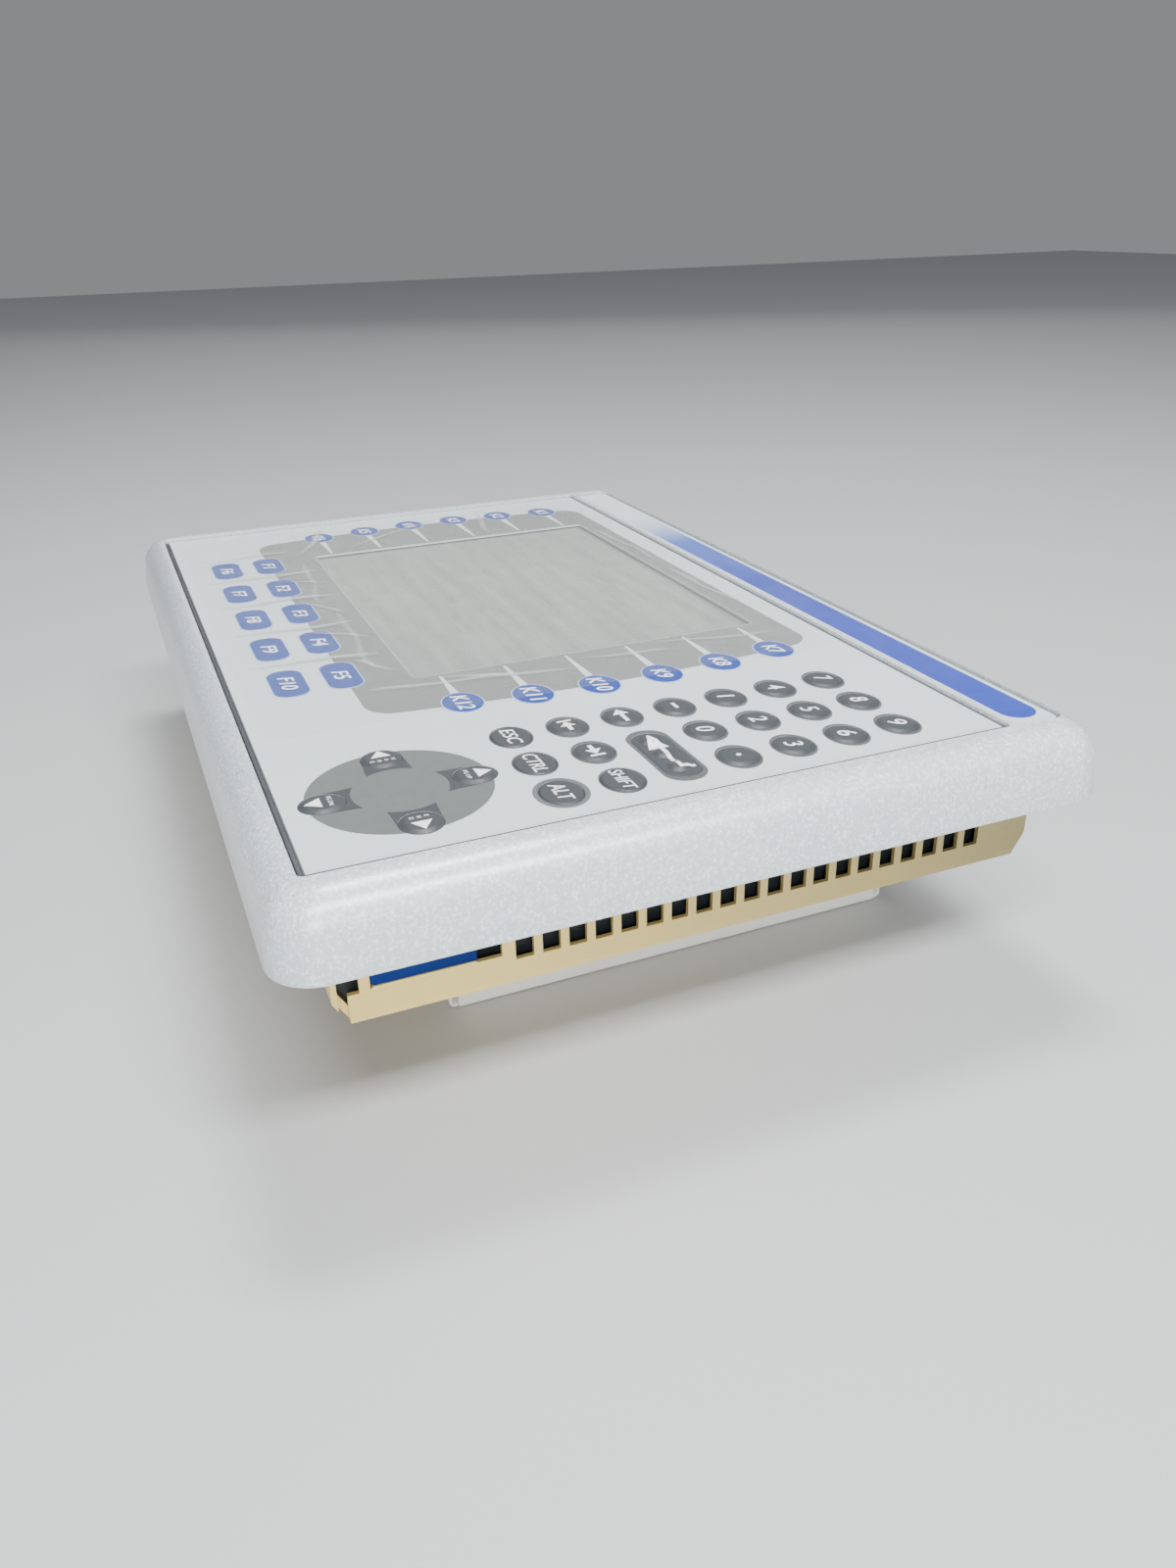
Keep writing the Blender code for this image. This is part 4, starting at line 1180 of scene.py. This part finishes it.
def nav_marks(name):
    """The white triangle near a navigation key's outer end, and a small word on its inner side."""
    centre = nav_centre().to_2d()
    out = (middle(name).to_2d() - centre).normalized()
    across = Vector((-out.y, out.x))
    base = centre + out * 16.6 * MM
    points = [base + out * 3.5 * MM, base + across * 2.2 * MM, base - across * 2.2 * MM]
    marks = [printed(f"sign_{name}", [[tuple(point) for point in points]], 0.0)]
    word = NAV_WORDS[name]
    at = centre + out * 14.7 * MM
    style = {"slant": 0.1, "weight": -0.01}
    if out.x * out.x < 0.5:
        marks.append(lettering(f"word_{name}", word, at, NAV_LETTER[0], 4.3 * MM, 0.0, **style))
        return joined(f"mark_{name}", marks)
    for number, letter in enumerate(word):
        place = (at.x, at.y + ((len(word) - 1) / 2 - number) * 1.55 * MM)
        marks.append(lettering(f"word_{name}_{number}", letter, place, *NAV_LETTER, 0.0, **style))
    return joined(f"mark_{name}", marks)


# Legends in letters: the text, its width and its height. A digit is a bit bolder than a word.
WORDS = {
    "key_esc": ("ESC", 8.6 * MM, 3.3 * MM),
    "key_ctrl": ("CTRL", 9.4 * MM, 3.3 * MM),
    "key_alt": ("ALT", 8.0 * MM, 3.3 * MM),
    "key_shift": ("SHIFT", 9.8 * MM, 2.9 * MM),
}
DIGIT_SIZE = (2.9 * MM, 4.1 * MM)
ONE_WIDTH = 1.9 * MM
DIGIT_WEIGHT, WORD_WEIGHT = 0.005, 0.004


def make_caps():
    for name in KEY_NAMES:
        loop = key_loop(name, 0.0)
        cap = make_cap(name, loop)
        smooth(cap, 40.0)
        cap.data.materials.append(LOOKS["key"].material)
        digit = name[4:].isdigit()
        if digit:
            text, width, height = name[4:], ONE_WIDTH if name == "key_1" else DIGIT_SIZE[0], DIGIT_SIZE[1]
        if name in WORDS:
            text, width, height = WORDS[name]
        if digit or name in WORDS:
            weight = DIGIT_WEIGHT if digit else WORD_WEIGHT
            mark = lettering(f"mark_{name}", text, middle(name), height, width, 0.0, weight)
        elif name in NAV_WORDS:
            mark = nav_marks(name)
        else:
            mark = printed(f"mark_{name}", legend_loops(name), 0.0)
        drape(mark, name, FILM_TOP - INK * 0.3)
        mark.data.materials.clear()
        mark.data.materials.append(LOOKS["white"].material)
        whole = joined(f"cap_{name[4:]}_marked", [cap, mark])
        smooth(whole, 40.0)
        piece(whole, None, name, [name])


# ---------------------------------------------------------------- rear, boards and connectors

def dress(name, look, edge=0.0):
    """Gives a carried-over CAD node its material, and softens its edges by modifiers."""
    obj = NODES[name]
    obj.data.materials.clear()
    obj.data.materials.append(LOOKS[look].material)
    if edge:
        weld = obj.modifiers.new("weld", "WELD")
        weld.merge_threshold = 0.00001
        bevel = obj.modifiers.new("edges", "BEVEL")
        bevel.width = edge
        bevel.segments = 2
        bevel.limit_method = "ANGLE"
        bevel.angle_limit = math.radians(40)


def make_rear():
    dress("rear_chassis", "gold", 0.10 * MM)
    dress("module_cover", "white_sheet", 0.5 * MM)
    dress("module_base", "white_sheet", 0.25 * MM)
    dress("panel_gasket", "foam", 0.3 * MM)
    dress("insulation_sheet", "blue_sheet")
    dress("touch_screen", "glass")
    dress("lcd_panel", "display")
    dress("lcd_backlight", "tray", 0.4 * MM)
    for name in ("backlight_inverter", "keypad_board", "display_board", "main_board"):
        dress(name, "board", 0.1 * MM)
    for name in ("power_header", "card_slot", "reset_button"):
        dress(name, "black", 0.2 * MM)
    for name in ("serial_port", "usb_port_1", "usb_port_2", "ethernet_port"):
        dress(name, "shell", 0.2 * MM)
    dress("heat_sink", "sink", 0.15 * MM)
    dress("battery", "shell", 0.2 * MM)
    for name in NODES:
        if "screw" in name:
            make_screw(name)


CHASSIS_WALL = 1.2 * MM


def make_liners():
    """Near-black sheets behind the vents of the two end walls, as painted shade of the chassis' inside, and a
    board's corner behind one vent.
    """
    low, high = node_box("rear_chassis")
    for side, end, name in ((1, high.x, "near"), (-1, low.x, "far")):
        wall = end - side * CHASSIS_WALL
        xs = sorted((wall - side * 2.6 * MM, wall - side * 2.2 * MM))
        sheet = ((xs[0], -82.6 * MM, low.z + 1.6 * MM), (xs[1], 77.0 * MM, high.z - 0.4 * MM))
        soft_piece(blocks(f"inner_sheet_{name}", sheet), 0.1 * MM, "liner")
    x = high.x - CHASSIS_WALL - 2.1 * MM
    board = ((x, 14.0 * MM, high.z - 8.4 * MM), (x + 1.6 * MM, 17.4 * MM, high.z - 4.6 * MM))
    chip = ((x + 1.5 * MM, 15.0 * MM, high.z - 7.4 * MM), (x + 1.8 * MM, 16.2 * MM, high.z - 5.8 * MM))
    soft_piece(blocks("board_corner", board, chip), 0.1 * MM, "board")


SLOT_START = -76.2 * MM
SLOT_SILL = 41.0 * MM


def make_slot_edge():
    """The slot at the near wall's lower end: the wall's rolled edge, and the blue sheet's fold behind it."""
    outer = node_box("rear_chassis")[1].x
    slot_end = node_box("insulation_sheet")[1].y
    loop = rounded_loop((slot_end - SLOT_START) / 2, 0.55 * MM, 0.5 * MM, 8,
                        ((slot_end + SLOT_START) / 2, SLOT_SILL - 0.1 * MM))
    lip = lofted("slot_lip", [[(x, y, z) for y, z in loop] for x in (outer - 1.1 * MM, outer + 0.12 * MM)])
    soft_piece(lip, 0.15 * MM, "gold")

    top, cut = SLOT_SILL + 5.8 * MM, 1.1 * MM
    outline = [(SLOT_START + cut, SLOT_SILL), (slot_end, SLOT_SILL), (slot_end, top), (SLOT_START, top),
               (SLOT_START, SLOT_SILL + cut)]
    fold = lofted("blue_sheet_fold", [[(x, y, z) for y, z in outline]
                                      for x in (outer - 0.55 * MM, outer - 0.25 * MM)])
    soft_piece(fold, 0.08 * MM, "blue_sheet")


def make_end_lips():
    """The cover's bottom sheet rolls up past the module's two open ends, clear of the side walls."""
    low, high = node_box("module_cover")
    thick, radius, rise, start, level = 0.8 * MM, 1.5 * MM, 3.9 * MM, 0.7 * MM, 0.1 * MM
    outer, inner = [(0.0, level)], [(0.0, level + thick)]
    for step in range(9):
        turn = math.radians(90) * step / 8
        outer.append((start + radius * math.sin(turn), level + radius * (1 - math.cos(turn))))
        shrunk = radius - thick
        inner.append((start + shrunk * math.sin(turn), level + radius - shrunk * math.cos(turn)))
    outer.append((start + radius, rise))
    inner.append((start + radius - thick, rise))
    outline = outer + inner[::-1]
    for side, name, end in ((-1, "lower", low.y), (1, "upper", high.y)):
        rings = [[(x, end + side * y, z) for y, z in outline] for x in (low.x + 0.6 * MM, high.x - 0.6 * MM)]
        soft_piece(lofted(f"cover_lip_{name}", rings), 0.2 * MM, "white_sheet")


SHANK_RADIUS = 1.35 * MM
CROSS_HALF = (1.55 * MM, 0.32 * MM)
CROSS_DEPTH = 1.05 * MM


def make_screw(name):
    """A pan-head screw with a cross recess, in place of the plain one."""
    low, high = node_box(name)
    size = high - low
    axis = max(range(3), key=lambda i: abs(size[i] - sorted(size)[1]))
    centre = (low + high) / 2
    if axis == 2:
        turn, head_at = Matrix.Identity(3), low.z
    else:
        sign = 1.0 if centre.x > 0 else -1.0
        turn = Matrix.Rotation(math.radians(-90 * sign), 3, "Y")
        head_at = high.x if sign > 0 else low.x
    length = size[axis]
    radius = min(size[i] for i in range(3) if i != axis) / 2
    profile = [(0.02 * MM, 0.0), (radius * 0.45, 0.05 * MM), (radius * 0.72, 0.28 * MM),
               (radius * 0.90, 0.75 * MM), (radius * 0.98, 1.2 * MM), (radius, 1.45 * MM), (radius, 1.85 * MM),
               (SHANK_RADIUS, 1.9 * MM), (SHANK_RADIUS, length - 0.4 * MM), (1.0 * MM, length)]
    screw = lofted(f"{name}_fine", [[(x, y, z) for x, y in oval_loop((0, 0), (r, r), 32)] for r, z in profile])
    for half_x, half_y in (CROSS_HALF, CROSS_HALF[::-1]):
        screw = cut_block(screw, (-half_x, -half_y, -1 * MM), (half_x, half_y, CROSS_DEPTH))
    screw = soften(screw, 0.06 * MM)
    origin = centre.copy()
    origin[axis] = head_at
    screw.data.transform(Matrix.Translation(origin) @ turn.to_4x4())
    piece(screw, LOOKS["zinc"], replaces=[name])


TERMINAL_PITCH = 5.08 * MM
PLUG_BODY = 12.0 * MM
TONGUE_MARGIN = 1.2 * MM
ENTRY_HALF = 1.9 * MM
WELL_RADIUS, CLAMP_RADIUS = 2.0 * MM, 1.8 * MM


def make_plug():
    """The pull-off terminal plug: three wire entries, and a clamping screw in a well over each."""
    low, high = node_box("power_plug")
    centre = middle("power_plug")
    mouth, top = low.y + PLUG_BODY, high.z
    plug = blocks("power_plug_fine", (low, (high.x, mouth, top)))
    tongue = bmesh.new()
    block(tongue, (low.x + TONGUE_MARGIN, mouth - 1 * MM, low.z + TONGUE_MARGIN),
          (high.x - TONGUE_MARGIN, high.y, top - TONGUE_MARGIN))
    plug = boolean(plug, tongue, "UNION")
    screws = []
    for number in (-1, 0, 1):
        x, y = centre.x + number * TERMINAL_PITCH, low.y + 5.2 * MM
        plug = cut_block(plug, (x - ENTRY_HALF, low.y - 1 * MM, centre.z - 3.2 * MM),
                         (x + ENTRY_HALF, low.y + 6 * MM, centre.z + 1.2 * MM))
        plug = cut_prism(plug, oval_loop((x, y), (WELL_RADIUS, WELL_RADIUS), 28), top - 1.6 * MM, top + 1 * MM)
        levels = ((CLAMP_RADIUS, top - 1.7 * MM), (CLAMP_RADIUS, top - 0.9 * MM), (1.6 * MM, top - 0.75 * MM))
        rings = [[(px, py, z) for px, py in oval_loop((x, y), (r, r), 28)] for r, z in levels]
        screws.append(cut_block(lofted(f"clamp_{number}", rings), (x - 0.28 * MM, y - 3 * MM, top - 1.25 * MM),
                                (x + 0.28 * MM, y + 3 * MM, top + 1 * MM)))
    piece(soften(plug, 0.2 * MM), LOOKS["green"], "power_plug", ["power_plug"])
    piece(joined("plug_clamp_screws", screws), LOOKS["zinc"], "power_plug")


def make_card():
    """The memory card: stepped long edges, a finger recess at its outer end and a blank label."""
    low, high = node_box("memory_card")
    centre = middle("memory_card")
    card = blocks("memory_card_fine", (low, high))
    for edge in (low.x, high.x):
        card = cut_block(card, (edge - 1.0 * MM, low.y + 3.0 * MM, high.z - 1.1 * MM),
                         (edge + 1.0 * MM, high.y + 1 * MM, high.z + 1 * MM))
    recess = oval_loop((centre.x, low.y + 5.0 * MM), (8.0 * MM, 2.4 * MM), 40)
    card = cut_prism(card, recess, high.z - 0.6 * MM, high.z + 1 * MM)
    piece(soften(card, 0.15 * MM), LOOKS["black"], "memory_card", ["memory_card"])
    loop = rounded_loop(16.5 * MM, 10.5 * MM, 1.2 * MM, 5, (centre.x, low.y + 21.0 * MM))
    piece(printed("card_label", [loop], high.z, 0.06 * MM), LOOKS["white_sheet"], "memory_card")


SERIAL_ROWS = ((1.42 * MM, 5), (-1.42 * MM, 4))
SERIAL_PITCH = 2.77 * MM
NETWORK_PITCH = 1.02 * MM


def make_contacts():
    """Pins, tongues and contacts inside the rear sockets."""
    face = node_box("module_base")[0].y

    def bar(x, z, half_x, near, far, bottom, top):
        """The corners of a bar that stands out of the sockets' plane, from near to far along Y."""
        return (x - half_x, face + near, z + bottom), (x + half_x, face + far, z + top)

    at = middle("serial_port")
    insulator = blocks("serial_insulator", bar(at.x, at.z, 8.3 * MM, -0.2 * MM, 0.3 * MM, -4.0 * MM, 4.0 * MM))
    soft_piece(insulator, 0.1 * MM, "black")
    pins = []
    for row, count in SERIAL_ROWS:
        for number in range(count):
            x = at.x + (number - (count - 1) / 2) * SERIAL_PITCH
            pins.append(bar(x, at.z + row, 0.5 * MM, -4.6 * MM, -0.1 * MM, -0.5 * MM, 0.5 * MM))
    at = middle("ethernet_port")
    for number in range(8):
        x = at.x + (number - 3.5) * NETWORK_PITCH
        pins.append(bar(x, at.z, 0.22 * MM, 2.0 * MM, 10.5 * MM, 2.6 * MM, 3.0 * MM))
    soft_piece(blocks("socket_pins", *pins), 0.12 * MM, "gilt")

    tongues = [bar(at.x, at.z, 5.4 * MM, 0.6 * MM, 8.4 * MM, 0.3 * MM, 1.9 * MM)
               for at in (middle("usb_port_1"), middle("usb_port_2"))]
    soft_piece(blocks("usb_tongues", *tongues), 0.2 * MM, "black")


make_looks()
make_camera()
make_stage()
make_bezel()
make_film()
make_label_strip()
make_print()
make_peel_film()
make_key_rings()
make_caps()
make_rear()
make_liners()
make_slot_edge()
make_end_lips()
make_plug()
make_card()
make_contacts()
